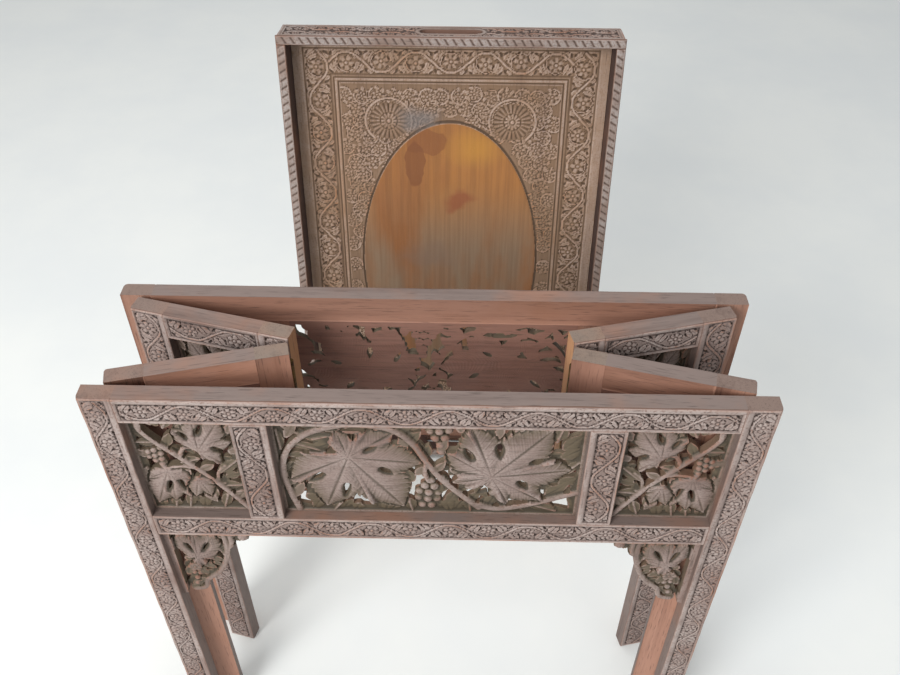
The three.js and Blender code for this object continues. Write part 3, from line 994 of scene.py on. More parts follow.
class Effects:
    """The effects that several finishes share."""

    def __init__(self) -> None:
        """Makes each effect once."""
        self.grain = self._grain()
        self.patina = self._patina()
        self.blot = self._blot()

    def _grain(self) -> bpy.types.NodeTree:
        """Makes long streaks and short dark pores that follow the board.

        Returns:
            The group, with Streak and Pores.
        """
        outputs = {"Streak": "Float", "Pores": "Float"}
        sketch, given, result = make_group("wood_grain", {"Vector": "Vector"}, outputs)
        vector = given.outputs[0]
        broad = sketch.noise(sketch.stretch(vector, (3, 38, 38)), 1.0, 5.0, 0.6)
        fine = sketch.noise(sketch.stretch(vector, (12, 320, 320)), 1.0, 3.0, 0.6)
        streak = sketch.maths("MULTIPLY_ADD", fine, 0.4, clamp=True)
        sketch.tree.links.new(sketch.maths("MULTIPLY", broad, 0.75), streak.node.inputs[2])
        dashes = sketch.noise(sketch.stretch(vector, (45, 900, 900)), 1.0, 2.0, 0.5)
        sketch.tree.links.new(streak, result.inputs["Streak"])
        sketch.tree.links.new(sketch.rise(dashes, 0.58, 0.70), result.inputs["Pores"])
        return sketch.tree

    def _patina(self) -> bpy.types.NodeTree:
        """Makes the masks of dust and painted highlight on high places, of grime and painted shade in low
        ones, and of rubbed edges.

        Returns:
            The group, with its three masks: dust and painted highlight, grime and painted shade, and
                rubbed.
        """
        inputs = {"Vector": "Vector", "Relief": "Float", "Cavity": "Float", "Hollow": "Float"}
        outputs = {"Dust": "Float", "Grime": "Float", "Rubbed": "Float"}
        sketch, given, result = make_group("patina", inputs, outputs)
        vector, relief, cavity, hollow = (given.outputs[n] for n in inputs)
        cloud = sketch.noise(vector, 14.0, 4.0, 0.6)
        speck = sketch.noise(vector, 420.0, 2.0, 0.6)
        # Dust on the high carving, laid also as a painted highlight there.
        high = sketch.rise(sketch.maths("ADD", cavity, relief), 0.2, 1.3)
        dust = sketch.maths("MULTIPLY", high, sketch.rise(cloud, 0.30, 0.62))
        dust = sketch.maths("MULTIPLY", dust, sketch.rise(speck, 0.25, 0.55))
        # Grime in the low carving, laid also as painted shade in its hollows.
        low = sketch.rise(sketch.maths("ADD", cavity, hollow), 0.15, -0.9)
        rubbed = sketch.maths("MULTIPLY", sketch.rise(cavity, 0.15, 0.7), sketch.rise(cloud, 0.7, 0.4))
        for name, value in (("Dust", dust), ("Grime", low), ("Rubbed", rubbed)):
            sketch.tree.links.new(value, result.inputs[name])
        return sketch.tree

    def _blot(self) -> bpy.types.NodeTree:
        """Makes a stain with a wandering edge.

        Returns:
            The group, with Mask.
        """
        inputs = {"Vector": "Vector", "Centre": "Vector", "Size": "Vector", "Soft": "Float",
                  "Wander": "Float"}
        sketch, given, result = make_group("blot", inputs, {"Mask": "Float"})
        wander = sketch.node("ShaderNodeTexNoise", {"Vector": given.outputs["Vector"], "Scale": 28.0})
        shift = sketch.node("ShaderNodeVectorMath", {0: wander.outputs[1], 1: (0.5, 0.5, 0.5)},
                            operation="SUBTRACT")
        bend = sketch.node("ShaderNodeVectorMath", {0: shift.outputs[0]}, operation="SCALE")
        sketch.tree.links.new(given.outputs["Wander"], bend.inputs["Scale"])
        from_centre = sketch.node("ShaderNodeVectorMath", operation="SUBTRACT",
                                  inputs={0: given.outputs["Vector"], 1: given.outputs["Centre"]})
        moved = sketch.node("ShaderNodeVectorMath", {0: from_centre.outputs[0], 1: bend.outputs[0]})
        shares = sketch.node("ShaderNodeVectorMath", operation="DIVIDE",
                             inputs={0: moved.outputs[0], 1: given.outputs["Size"]})
        length = sketch.node("ShaderNodeVectorMath", {0: shares.outputs[0]}, operation="LENGTH")
        inner = sketch.maths("SUBTRACT", 1.0, given.outputs["Soft"])
        mask = sketch.node("ShaderNodeMapRange", interpolation_type="SMOOTHSTEP",
                           inputs={0: length.outputs[1], 1: inner, 2: 1.0, 3: 1.0, 4: 0.0})
        sketch.tree.links.new(mask.outputs[0], result.inputs["Mask"])
        return sketch.tree


@dataclass(frozen=True)
class WoodTones:
    """The colours and the sheen of one kind of carved wood."""

    raised: Colour
    # The ground's own darker tone, deepened with painted shade where the carving is low.
    ground: Colour
    # The colour of dust, laid also as a painted highlight on high carving.
    dust: Colour
    rubbed: Colour
    cut: Colour
    end: Colour
    back: Colour
    roughness: float = 0.62
    bump: float = 0.35

    @property
    def grime(self) -> Colour:
        """The dark colour of pores and veins, and of grime and painted shade in hollows."""
        return tuple(0.4 * c for c in self.ground)


class Finishes:
    """Every material of the object."""

    FRAME = WoodTones(
        raised=colour(135, 114, 106), ground=colour(80, 61, 53), dust=colour(178, 166, 160),
        rubbed=colour(154, 106, 80), cut=colour(122, 106, 99), end=colour(124, 104, 94),
        back=colour(164, 121, 101))
    FOLD = WoodTones(
        raised=colour(144, 122, 113), ground=colour(100, 78, 68), dust=colour(182, 170, 165),
        rubbed=colour(154, 108, 82), cut=colour(182, 136, 98), end=colour(126, 110, 98),
        back=colour(160, 118, 99))
    # Its ground and cut tones, the wood's own olive and tan, are darkened with painted shade, so the deep
    # gaps between the leaves read dark.
    OPENWORK = WoodTones(
        raised=colour(124, 103, 95), ground=colour(92, 79, 60), dust=colour(166, 151, 144),
        rubbed=colour(132, 91, 72), cut=colour(108, 94, 76), end=colour(108, 94, 76),
        back=colour(138, 100, 86))
    # Its back tone, on the walls' faces inside the tray, is darkened as painted shade.
    TRAY_WALLS = WoodTones(
        raised=colour(132, 110, 98), ground=colour(88, 68, 58), dust=colour(172, 164, 160),
        rubbed=colour(150, 100, 72), cut=colour(110, 80, 66), end=colour(104, 78, 66),
        back=colour(70, 50, 44))
    TRAY_CARVING = WoodTones(
        raised=colour(158, 128, 103), ground=colour(122, 93, 68), dust=colour(194, 174, 164),
        rubbed=colour(184, 124, 78), cut=colour(104, 78, 66), end=colour(104, 78, 66),
        back=colour(96, 72, 60))

    def __init__(self) -> None:
        """Makes the materials."""
        self.effects = Effects()
        self.frame = self._carved("carved_frame_wood", self.FRAME)
        self.fold = self._carved("fold_stile_wood", self.FOLD)
        self.openwork = self._carved("openwork_wood", self.OPENWORK)
        self.tray_walls = self._carved("tray_wall_wood", self.TRAY_WALLS)
        self.tray_floor = self._tray_floor()
        self.brass = self._brass()
        self.floor = self._pale_floor()

    def _start(self, name: str) -> tuple[bpy.types.Material, Sketch, Any]:
        """Starts a material.

        Args:
            name: Its name.

        Returns:
            The material, a sketch of its tree, and its shader.
        """
        material = bpy.data.materials.new(name)
        material.use_nodes = True
        sketch = Sketch(material.node_tree)
        return material, sketch, material.node_tree.nodes["Principled BSDF"]

    def _wood(self, sketch: Sketch, tones: WoodTones) -> tuple[Any, Any, Any]:
        """Lays the tones of carved wood over each other.

        Args:
            sketch: The material's sketch.
            tones: The colours.

        Returns:
            The colour, the height for the bump, and the mask of dust and painted highlight.
        """
        grain = sketch.node("ShaderNodeGroup", node_tree=self.effects.grain)
        sketch.tree.links.new(sketch.read("grain", "Vector"), grain.inputs["Vector"])
        patina = sketch.node("ShaderNodeGroup", node_tree=self.effects.patina)
        for name in ("Relief", "Cavity", "Hollow"):
            sketch.tree.links.new(sketch.read(name.lower()), patina.inputs[name])
        sketch.tree.links.new(sketch.coordinates(), patina.inputs["Vector"])
        streak = grain.outputs["Streak"]
        relief = sketch.read("relief")
        # Low carving takes the ground tone and high carving the raised one: the wood's own tones, with
        # painted shade in the depths.
        carved = sketch.mix(sketch.rise(relief, 0.15, 0.85), tones.ground, tones.raised)
        carved = sketch.mix(patina.outputs["Rubbed"], carved, tones.rubbed)
        # Grime and painted shade darken the hollows.
        grime = sketch.maths("MULTIPLY", patina.outputs["Grime"], 0.85)
        carved = sketch.mix(grime, carved, tones.grime)
        veins = sketch.maths("SINE", sketch.maths("MULTIPLY", sketch.read("flow"), 1900.0))
        carved = sketch.mix(sketch.maths("MULTIPLY", sketch.rise(veins, 0.2, 1.0), 0.18), carved,
                            tones.grime)
        # Dust and painted highlight lighten the high carving.
        carved = sketch.mix(sketch.maths("MULTIPLY", patina.outputs["Dust"], 0.75), carved, tones.dust)
        rim = sketch.maths("MULTIPLY", sketch.read("edge"), 0.25)
        carved = sketch.mix(rim, carved, tones.rubbed)
        surface = sketch.read("surface")
        end, back, cut = (sketch.maths("GREATER_THAN", surface, kind.limit())
                          for kind in (Surface.END, Surface.BACK, Surface.CUT))
        plain = sketch.mix(end, tones.cut, tones.end)
        plain = sketch.mix(back, plain, tones.back)
        cloud = sketch.noise(sketch.coordinates(), 9.0, 4.0, 0.6)
        plain = sketch.mix(sketch.maths("MULTIPLY", sketch.rise(cloud, 0.48, 0.75), 0.6), plain,
                           tones.rubbed)
        shown = sketch.mix(cut, carved, plain)
        dark = sketch.maths("MULTIPLY", sketch.rise(streak, 0.62, 0.30), 0.5)
        shown = sketch.mix(dark, shown, (0.30, 0.22, 0.20), "MULTIPLY")
        pores = grain.outputs["Pores"]
        shown = sketch.mix(sketch.maths("MULTIPLY", pores, 0.45), shown, tones.grime)
        height = sketch.maths("MULTIPLY", streak, 0.6)
        height = sketch.maths("SUBTRACT", height, sketch.maths("MULTIPLY", pores, 0.5))
        height = sketch.maths("SUBTRACT", height, sketch.maths("MULTIPLY", veins, 0.35))
        return shown, height, patina.outputs["Dust"]

    def _carved(self, name: str, tones: WoodTones) -> bpy.types.Material:
        """Makes the finish of carved boards.

        Args:
            name: Its name.
            tones: Its colours.

        Returns:
            The material.
        """
        material, sketch, shader = self._start(name)
        shown, height, dust = self._wood(sketch, tones)
        self._finish(sketch, shader, shown, height, dust, tones)
        return material

    def _finish(self, sketch: Sketch, shader: Any, shown: Any, height: Any, dust: Any,
                tones: WoodTones) -> None:
        """Wires a wood's colour, sheen and bump to its shader.

        Args:
            sketch: The material's sketch.
            shader: Its shader.
            shown: The colour.
            height: The bump's height.
            dust: The mask of dust and painted highlight.
            tones: The wood's sheen.
        """
        links = sketch.tree.links
        links.new(shown, shader.inputs["Base Color"])
        rough = sketch.maths("ADD", tones.roughness, sketch.maths("MULTIPLY", dust, 0.2))
        cloud = sketch.noise(sketch.coordinates(), 60.0, 3.0, 0.5)
        rough = sketch.maths("ADD", rough, sketch.maths("MULTIPLY", cloud, 0.12), clamp=True)
        links.new(rough, shader.inputs["Roughness"])
        knife = sketch.noise(sketch.coordinates(), 700.0, 2.0, 0.5)
        total = sketch.maths("ADD", height, sketch.maths("MULTIPLY", knife, 0.35))
        inputs = {"Height": total, "Strength": tones.bump, "Distance": 0.0006}
        bump = sketch.node("ShaderNodeBump", inputs)
        links.new(bump.outputs[0], shader.inputs["Normal"])

    def _spot(self, sketch: Sketch, centre: Point, size: Point, soft: float, wander: float) -> Any:
        """Makes the mask of one spot on the tray's floor.

        Args:
            sketch: The material's sketch.
            centre: Its middle, in metres across and up the floor.
            size: Its half sizes, in metres.
            soft: How much of it is a soft edge.
            wander: How far its edge wanders, in metres.

        Returns:
            The mask.
        """
        blot = sketch.node("ShaderNodeGroup", node_tree=self.effects.blot)
        sketch.tree.links.new(sketch.read("spot", "Vector"), blot.inputs["Vector"])
        blot.inputs["Centre"].default_value = (*centre, 0.0)
        blot.inputs["Size"].default_value = (*size, 1.0)
        blot.inputs["Soft"].default_value = soft
        blot.inputs["Wander"].default_value = wander
        return blot.outputs["Mask"]

    def _stain(self, sketch: Sketch, base: Any, tint: Colour, centre: Point, size: Point,
               soft: float, wander: float, strength: float) -> Any:
        """Lays a stain on the tray's floor.

        Args:
            sketch: The material's sketch.
            base: The colour so far.
            tint: The stain's colour.
            centre: Its middle, in metres across and up the floor.
            size: Its half sizes, in metres.
            soft: How much of it is a soft edge.
            wander: How far its edge wanders, in metres.
            strength: How much of the colour under it is hidden.

        Returns:
            The new colour.
        """
        mask = self._spot(sketch, centre, size, soft, wander)
        return sketch.mix(sketch.maths("MULTIPLY", mask, strength), base, tint)

    def _tray_floor(self) -> bpy.types.Material:
        """Makes the finish of the tray's floor: a carved ground round a plain stained oval.

        Returns:
            The material.
        """
        material, sketch, shader = self._start("tray_floor_wood")
        tones = self.TRAY_CARVING
        shown, height, dust = self._wood(sketch, tones)
        lower = sketch.node("ShaderNodeSeparateXYZ", {0: sketch.read("spot", "Vector")}).outputs[1]
        plain = sketch.mix(sketch.rise(lower, 0.33, 0.47), colour(134, 110, 87), colour(160, 106, 54))
        cloud = sketch.noise(sketch.stretch(sketch.read("grain", "Vector"), (5, 16, 16)), 1.0, 5.0)
        plain = sketch.mix(sketch.rise(cloud, 0.42, 0.72), plain, colour(142, 91, 50))
        figure = sketch.noise(sketch.stretch(sketch.read("grain", "Vector"), (6, 210, 210)), 1.0, 4.0)
        plain = sketch.mix(sketch.maths("MULTIPLY", sketch.rise(figure, 0.62, 0.35), 0.30), plain,
                           colour(104, 68, 40))
        for stain in TRAY_STAINS:
            plain = self._stain(sketch, plain, *stain)
        middle, reach = (tuple(size / 2 * MM for size in sizes) for sizes in (Tray.FLOOR, Tray.OVAL))
        oval = self._spot(sketch, middle, reach, 0.008, 0.0)
        shown = self._stain(sketch, shown, *CARVING_STAIN)
        upper = sketch.maths("LESS_THAN", sketch.read("surface"), Surface.CUT.limit())
        shown = sketch.mix(sketch.maths("MULTIPLY", oval, upper), shown, plain)
        self._finish(sketch, shader, shown, height, dust, tones)
        return material

    def _brass(self) -> bpy.types.Material:
        """Makes the finish of the dark old hinges.

        Returns:
            The material.
        """
        material, sketch, shader = self._start("aged_brass")
        cloud = sketch.noise(sketch.coordinates(), 160.0, 4.0, 0.6)
        speck = sketch.noise(sketch.coordinates(), 900.0, 3.0, 0.6)
        shown = sketch.mix(sketch.rise(cloud, 0.35, 0.65), colour(74, 60, 42), colour(128, 104, 62))
        shown = sketch.mix(sketch.rise(speck, 0.6, 0.75), shown, colour(52, 46, 40))
        links = sketch.tree.links
        links.new(shown, shader.inputs["Base Color"])
        links.new(sketch.maths("MULTIPLY_ADD", cloud, 0.5), shader.inputs["Roughness"])
        shader.inputs["Roughness"].links[0].from_node.inputs[2].default_value = 0.25
        shader.inputs["Metallic"].default_value = 0.9
        bump = sketch.node("ShaderNodeBump", {"Height": speck, "Strength": 0.3, "Distance": 0.0003})
        links.new(bump.outputs[0], shader.inputs["Normal"])
        return material

    def _pale_floor(self) -> bpy.types.Material:
        """Makes the pale floor that the object stands on.

        Returns:
            The material.
        """
        material, sketch, shader = self._start("pale_floor")
        cloud = sketch.noise(sketch.coordinates(), 3.0, 4.0, 0.6)
        shown = sketch.mix(sketch.rise(cloud, 0.3, 0.7), colour(236, 237, 233), colour(230, 232, 230))
        sketch.tree.links.new(shown, shader.inputs["Base Color"])
        shader.inputs["Roughness"].default_value = 0.55
        return material


def panel_place(name: str) -> Place:
    """Finds a wide panel's lower left corner on its plain face, as seen from outside.

    Args:
        name: "front" or "rear".

    Returns:
        The place.
    """
    low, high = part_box(f"{name}_left_stile")
    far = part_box(f"{name}_right_stile")[1]
    up = Vector((0, 0, 1))
    if name == "front":
        return Place(Vector((low.x, high.y, low.z)), Vector((1, 0, 0)), up, Vector((0, -1, 0)))
    return Place(Vector((far.x, low.y, low.z)), Vector((-1, 0, 0)), up, Vector((0, 1, 0)))


@dataclass
class Joinery:
    """The boards that the panels and the leaves are joined from, each carved once."""

    step: float = 0.9
    fine: float = 1.0
    thickness: float = 18.0
    carving: float = 10.5
    ground: float = 0.9
    gouge: float = 2.1
    border: float = 3.4
    vine_pitch: float = 38.0
    openwork_floor: float = 2.0
    stand_height: float = 600.0
    stile_width: float = 30.0
    rail_height: float = 30.0
    muntin_width: float = 33.0
    side_window: float = 96.0
    centre_window: float = 282.0
    window_height: float = 136.0
    bracket_size: Point = (86.0, 120.0)
    leaf_length: float = 160.0
    leg_width: float = 34.0
    fold_width: float = 30.0
    hinge_zones: tuple[Point, Point] = ((429.0, 467.0), (537.0, 575.0))
    seat_width: float = 11.0
    seat_margin: float = 0.5

    def carve(self) -> dict[str, "Board"]:
        """Carves each kind of board once.

        Returns:
            The boards, by kind.
        """
        rail = 2 * (self.side_window + self.muntin_width) + self.centre_window
        leaf_window = self.leaf_length - self.leg_width - self.fold_width
        fold = self.window_height + 2 * self.rail_height
        openwork = (self.side_window, self.window_height)
        reliefs = {
            "stile": self.band(self.stile_width, self.stand_height, 6.5, 1, (3.4, 0.9, 1.4, 1.6)),
            "top_rail": self.band(self.rail_height, rail, 6.5, 2, (0.9, 1.8, 0.5, 0.5)),
            "lower_rail": self.band(self.rail_height, rail, 4.5, 3, (1.4, 0.9, 0.5, 0.5)),
            "muntin": self.band(self.muntin_width, self.window_height, 6.5, 4, (0.9, 0.9, 0.5, 0.5)),
            "leg": self.band(self.leg_width, self.stand_height, 6.5, 5, (2.2, 0.9, 1.4, 1.6)),
            "fold_stile": self.band(self.fold_width, fold, 6.5, 6, (1.6, 0.9, 1.2, 1.6)),
            "leaf_rail": self.band(self.rail_height, leaf_window, 5.0, 7, (0.9, 1.2, 0.5, 0.5)),
            "centre_carving": self.centre_carving(self.centre_window, self.window_height),
            "side_carving": self.side_carving(*openwork),
            "bracket": self.bracket(*self.bracket_size),
        }
        base = self.stand_height - fold
        stile = reliefs["fold_stile"]
        for low, high in self.hinge_zones:
            seat = stile.within((0, low - base - self.seat_margin),
                                (self.seat_width, high - base + self.seat_margin))
            stile.height = np.where(seat > 0, self.thickness - 0.5, stile.height)
        return {name: Board(name, relief) for name, relief in reliefs.items()}

    def band(self, width: float, length: float, inner: float, seed: int,
             wear: Sequence[float]) -> Relief:
        """Carves a board with a running vine between thin plain borders.

        Args:
            width: The board's width.
            length: Its length.
            inner: Width of the border at its inner edge.
            seed: Start of its small differences.
            wear: Radii of its outer, inner, lower and upper edge.

        Returns:
            The carved face.
        """
        relief = Relief(width, length, self.step, self.thickness)
        low = (self.border, self.border)
        high = (width - inner, length - self.border)
        relief.sink(low, high, self.ground)
        middle = (low[0] + high[0]) / 2
        swing = (high[0] - low[0]) / 2 - 1.5
        keep = np.clip(relief.within(low, high) / 0.6, 0, 1)
        border = relief.height.copy()
        relief.gouge = self.gouge
        relief.vine((middle, low[1]), (middle, high[1]), self.vine_pitch, swing,
                    self.thickness - 0.2, seed)
        relief.height = relief.height * keep + border * (1 - keep)
        relief.line((low[0] - 1.3, low[1] - 1.3), (high[0] + 1.3, high[1] + 1.3), 0.7, 0.6)
        relief.line(low, high, 0.8, 1.1)
        relief.wear(*wear, seed)
        return relief

    def centre_carving(self, width: float, length: float) -> Relief:
        """Carves the wide pierced board: two great vine leaves, a winding stem and grapes.

        Args:
            width: The window's width.
            length: The window's height.

        Returns:
            The carved face.
        """
        relief = Relief(width, length, self.fine, self.carving, pierced=True)
        relief.height[:] = self.openwork_floor
        back, low, mid, high = 5.6, 7.0, 8.6, 10.4
        relief.thicket(13.0, (17.0, 9.0), (4.2, 5.6), 0.34, 11)
        for root, tip, size in CENTRE_LEAFLETS:
            relief.leaflet(root, tip, size, back if size > 9 else low)
        for root, tip, size in CENTRE_LEAFLETS[::3]:
            relief.stem([root, tip], 2.2, low, 0.5)
        relief.grapes((150, 128), (152, 92), 36, 4.5, mid)
        relief.grapes((138, 12), (142, 50), 42, 4.8, mid)
        relief.stem([(14, 3), (8, 30), (4.5, 62), (12, 92), (30, 113), (58, 125), (84, 127),
                     (108, 121), (126, 103), (138, 78), (151, 55), (166, 35), (188, 10)], 5.4, mid, 1.1)
        relief.stem([(50, 118), (80, 116), (104, 122)], 3.5, low)
        relief.stem([(28, 111), (12, 122), (4, 133)], 3.5, low, 0.6)
        relief.stem([(138, 80), (137, 60), (140, 50)], 3.5, mid)
        relief.stem([(186, 14), (206, 9), (232, 15), (256, 25), (281, 36)], 7.0, mid, 0.8)
        relief.vine_leaf((67, 86), [(108, 117), (135, 75), (116, 9), (41, 8), (10, 49), (58, 119)],
                         high, 3.4, 0.35)
        relief.vine_leaf((199, 61), [(179, 127), (252, 125), (273, 69), (247, 22), (162, 47),
                                     (156, 92), (214, 20)], high, 3.4, 0.33)
        for root, tip, size in CENTRE_HOLES:
            relief.pierce(root, tip, size)
        self._margin(relief)
        return relief

    def side_carving(self, width: float, length: float) -> Relief:
        """Carves a narrow pierced board: a branch, two vine leaves and grapes.

        Args:
            width: The window's width.
            length: The window's height.

        Returns:
            The carved face.
        """
        relief = Relief(width, length, self.fine, self.carving, pierced=True)
        relief.height[:] = self.openwork_floor
        back, low, mid, high = 5.8, 7.2, 8.8, 10.4
        relief.thicket(12.5, (14.5, 7.5), (4.2, 5.8), 0.46, 12)
        for root, tip, size in SIDE_LEAFLETS:
            relief.leaflet(root, tip, size, back if size > 9 else low)
        for root, tip, size in SIDE_LEAFLETS[::2]:
            relief.stem([root, tip], 2.0, low, 0.5)
        relief.stem([(94, 2), (82, 22), (62, 52), (40, 78), (18, 104), (10, 120), (16, 133)], 4.6, mid)
        relief.stem([(40, 78), (46, 92), (62, 95)], 3.2, mid)
        relief.stem([(52, 64), (40, 66), (27, 64)], 3.2, mid)
        relief.stem([(70, 40), (72, 56), (80, 66)], 3.0, low)
        relief.grapes((15, 86), (22, 68), 24, 3.3, mid)
        relief.vine_leaf((60, 92), [(84, 130), (60, 133), (91, 100), (78, 72), (40, 117)], high, 3.0,
                         0.34)
        relief.vine_leaf((26, 62), [(6, 8), (24, 12), (40, 18), (4, 46), (45, 46)], high, 3.0, 0.30)
        relief.vine_leaf((52, 50), [(44, 18), (60, 20), (66, 38)], high - 1, 2.4, 0.30)
        for root, tip, size in SIDE_HOLES:
            relief.pierce(root, tip, size)
        self._margin(relief)
        return relief

    def _margin(self, relief: Relief) -> None:
        """Leaves a thin strip all round a pierced board, with a low wavy ledge inside it.

        Args:
            relief: The board's carved face.
        """
        border = relief.within((0, 0), (relief.width, relief.length))
        waves = 2.2 * np.sin(relief.u / 6.1) * np.sin(relief.u / 17.0 + relief.v / 9.0)
        ledge = 6.0 + waves + 3.0 * (relief.v < 20) - border
        relief.lay(WHOLE, ledge, 6.2 - 0.25 * border, False)
        relief.lay(WHOLE, 2.0 - border, np.full(relief.u.shape, 7.2), False)
        relief.drop_loose()

    def bracket(self, reach: float, drop: float) -> Relief:
        """Carves a corner bracket, whose corner is at its upper left.

        Args:
            reach: Its size along the rail.
            drop: Its size down the leg.

        Returns:
            The carved face.
        """
        relief = Relief(reach, drop, self.fine, self.carving, pierced=True)
        relief.height[:] = self.openwork_floor
        low, mid, high = 6.8, 8.6, 10.2

        def at(across: float, down: float) -> Point:
            """A point by its shares of the reach and of the drop."""
            return (across * reach, (1 - down) * drop)

        relief.thicket(11.0, (13.0, 8.0), (4.6, 6.2), 0.25, 13)
        edge = [at(0.16, 0.96), at(0.3, 0.92), at(0.35, 0.8), at(0.53, 0.67), at(0.65, 0.48),
                at(0.7, 0.28), at(0.69, 0.1)]
        relief.stem(edge, 5.5, mid)
        relief.stem([at(0.66, 0.4), at(0.76, 0.24), at(0.76, 0.08)], 5.0, mid)
        for root, tip, size in BRACKET_LEAFLETS:
            relief.leaflet(at(*root), at(*tip), size, low)
        relief.vine_leaf(at(0.32, 0.42), [at(0.13, 0.12), at(0.34, 0.10), at(0.58, 0.12),
                                          at(0.14, 0.38), at(0.58, 0.36), at(0.34, 0.58)], high, 2.4, 0.4)
        relief.flower(at(0.24, 0.6), 7.0, 6, mid)
        relief.grapes(at(0.24, 0.7), at(0.2, 0.86), 14, 3.4, mid)
        relief.berry(at(0.92, 0.14), 6.5, high)
        relief.strip((0, 0), (5.5, drop), relief.top - 0.2)
        relief.strip((0, drop - 10), (0.97 * reach, drop), relief.top - 0.2)
        relief.pierce(at(0.22, 0.26), at(0.27, 0.36), 4.0)
        relief.pierce(at(0.47, 0.25), at(0.40, 0.35), 4.0)
        relief.outline([at(*share) for share in BRACKET_OUTLINE])
        relief.drop_loose()
        relief.edge = np.clip(6 - np.minimum(relief.u, drop - relief.v), 0, 1) * 0.6
        return relief


CENTRE_LEAFLETS = [
    ((6, 92), (4, 118), 10), ((12, 108), (24, 133), 9), ((30, 112), (40, 104), 10),
    ((36, 106), (56, 112), 12), ((66, 122), (70, 134), 8), ((84, 124), (84, 134), 7),
    ((96, 120), (97, 134), 7), ((112, 116), (126, 133), 12), ((118, 100), (134, 118), 12),
    ((120, 92), (114, 110), 9), ((170, 118), (168, 134), 8), ((186, 116), (190, 134), 8),
    ((204, 112), (206, 134), 8), ((222, 112), (222, 134), 8), ((236, 118), (240, 134), 9),
    ((256, 108), (262, 132), 12), ((262, 96), (280, 118), 14), ((262, 84), (279, 98), 13),
    ((268, 66), (279, 80), 10), ((262, 46), (278, 58), 12), ((250, 28), (272, 48), 13),
    ((236, 16), (262, 6), 12), ((214, 10), (232, 2), 10), ((196, 12), (204, 30), 11),
    ((178, 24), (180, 4), 12), ((166, 34), (156, 12), 11), ((156, 22), (160, 2), 10),
    ((120, 22), (124, 3), 12), ((116, 30), (122, 46), 10), ((126, 46), (118, 66), 11),
    ((128, 58), (138, 72), 9), ((100, 14), (98, 2), 10), ((74, 12), (68, 2), 10),
    ((56, 14), (48, 2), 11), ((36, 18), (28, 3), 12), ((22, 24), (34, 14), 10),
    ((12, 22), (22, 44), 9), ((8, 40), (20, 60), 9), ((6, 62), (22, 74), 10),
    ((150, 92), (158, 108), 9), ((168, 34), (184, 50), 10), ((36, 92), (52, 100), 12),
    ((20, 100), (44, 90), 10), ((160, 70), (172, 60), 9), ((146, 64), (156, 78), 8),
]
CENTRE_HOLES = [
    ((40, 57), (31, 47), 7), ((63, 42), (60, 24), 6.5), ((97, 66), (105, 60), 7),
    ((84, 93), (92, 98), 6), ((205, 100), (206, 86), 8), ((180, 84), (174, 96), 7),
    ((237, 79), (246, 82), 7), ((226, 50), (232, 42), 8), ((196, 38), (188, 30), 5),
]
SIDE_LEAFLETS = [
    ((12, 118), (4, 128), 10), ((18, 122), (30, 133), 11), ((32, 118), (40, 133), 10),
    ((14, 108), (3, 112), 11), ((22, 98), (4, 98), 12), ((30, 92), (36, 110), 10),
    ((44, 104), (50, 124), 10), ((10, 78), (2, 88), 8), ((40, 70), (58, 76), 11),
    ((56, 60), (70, 68), 9), ((74, 56), (92, 74), 13), ((78, 50), (92, 54), 11),
    ((72, 36), (92, 38), 12), ((66, 30), (54, 10), 11), ((76, 24), (70, 4), 11),
    ((84, 18), (93, 30), 9), ((40, 24), (36, 3), 11), ((52, 16), (50, 2), 10),
    ((24, 14), (22, 2), 10), ((8, 14), (10, 2), 10), ((8, 40), (2, 24), 8),
    ((6, 62), (2, 46), 8), ((88, 84), (93, 92), 9), ((46, 60), (36, 50), 9),
    ((62, 44), (76, 40), 10), ((88, 112), (94, 126), 8), ((54, 28), (64, 12), 9),
]
SIDE_HOLES = [
    ((62, 112), (66, 122), 5), ((50, 106), (46, 112), 4.5), ((74, 92), (80, 88), 5.5),
    ((24, 42), (20, 28), 4.5), ((34, 44), (36, 30), 4.5),
]
BRACKET_LEAFLETS = [
    ((0.45, 0.45), (0.62, 0.5), 9), ((0.36, 0.56), (0.5, 0.62), 9), ((0.56, 0.3), (0.7, 0.3), 9),
    ((0.62, 0.16), (0.76, 0.1), 9), ((0.14, 0.5), (0.26, 0.44), 9), ((0.14, 0.9), (0.28, 0.84), 9),
    ((0.28, 0.78), (0.36, 0.86), 8), ((0.12, 0.74), (0.16, 0.6), 8), ((0.7, 0.1), (0.86, 0.12), 10),
    ((0.3, 0.6), (0.36, 0.74), 8), ((0.12, 0.28), (0.16, 0.14), 8), ((0.12, 0.98), (0.2, 0.88), 9),
    ((0.62, 0.34), (0.7, 0.44), 7), ((0.48, 0.52), (0.58, 0.58), 7),
]
BRACKET_OUTLINE = [
    (-0.02, -0.02), (-0.02, 1), (0.12, 0.97), (0.21, 0.975), (0.3, 0.945), (0.36, 0.88), (0.38, 0.82),
    (0.5, 0.73), (0.6, 0.62), (0.69, 0.47), (0.74, 0.3), (0.78, 0.29), (0.82, 0.26), (0.84, 0.21),
    (0.88, 0.235), (0.94, 0.23), (0.985, 0.18), (1, 0.1), (1, -0.02),
]


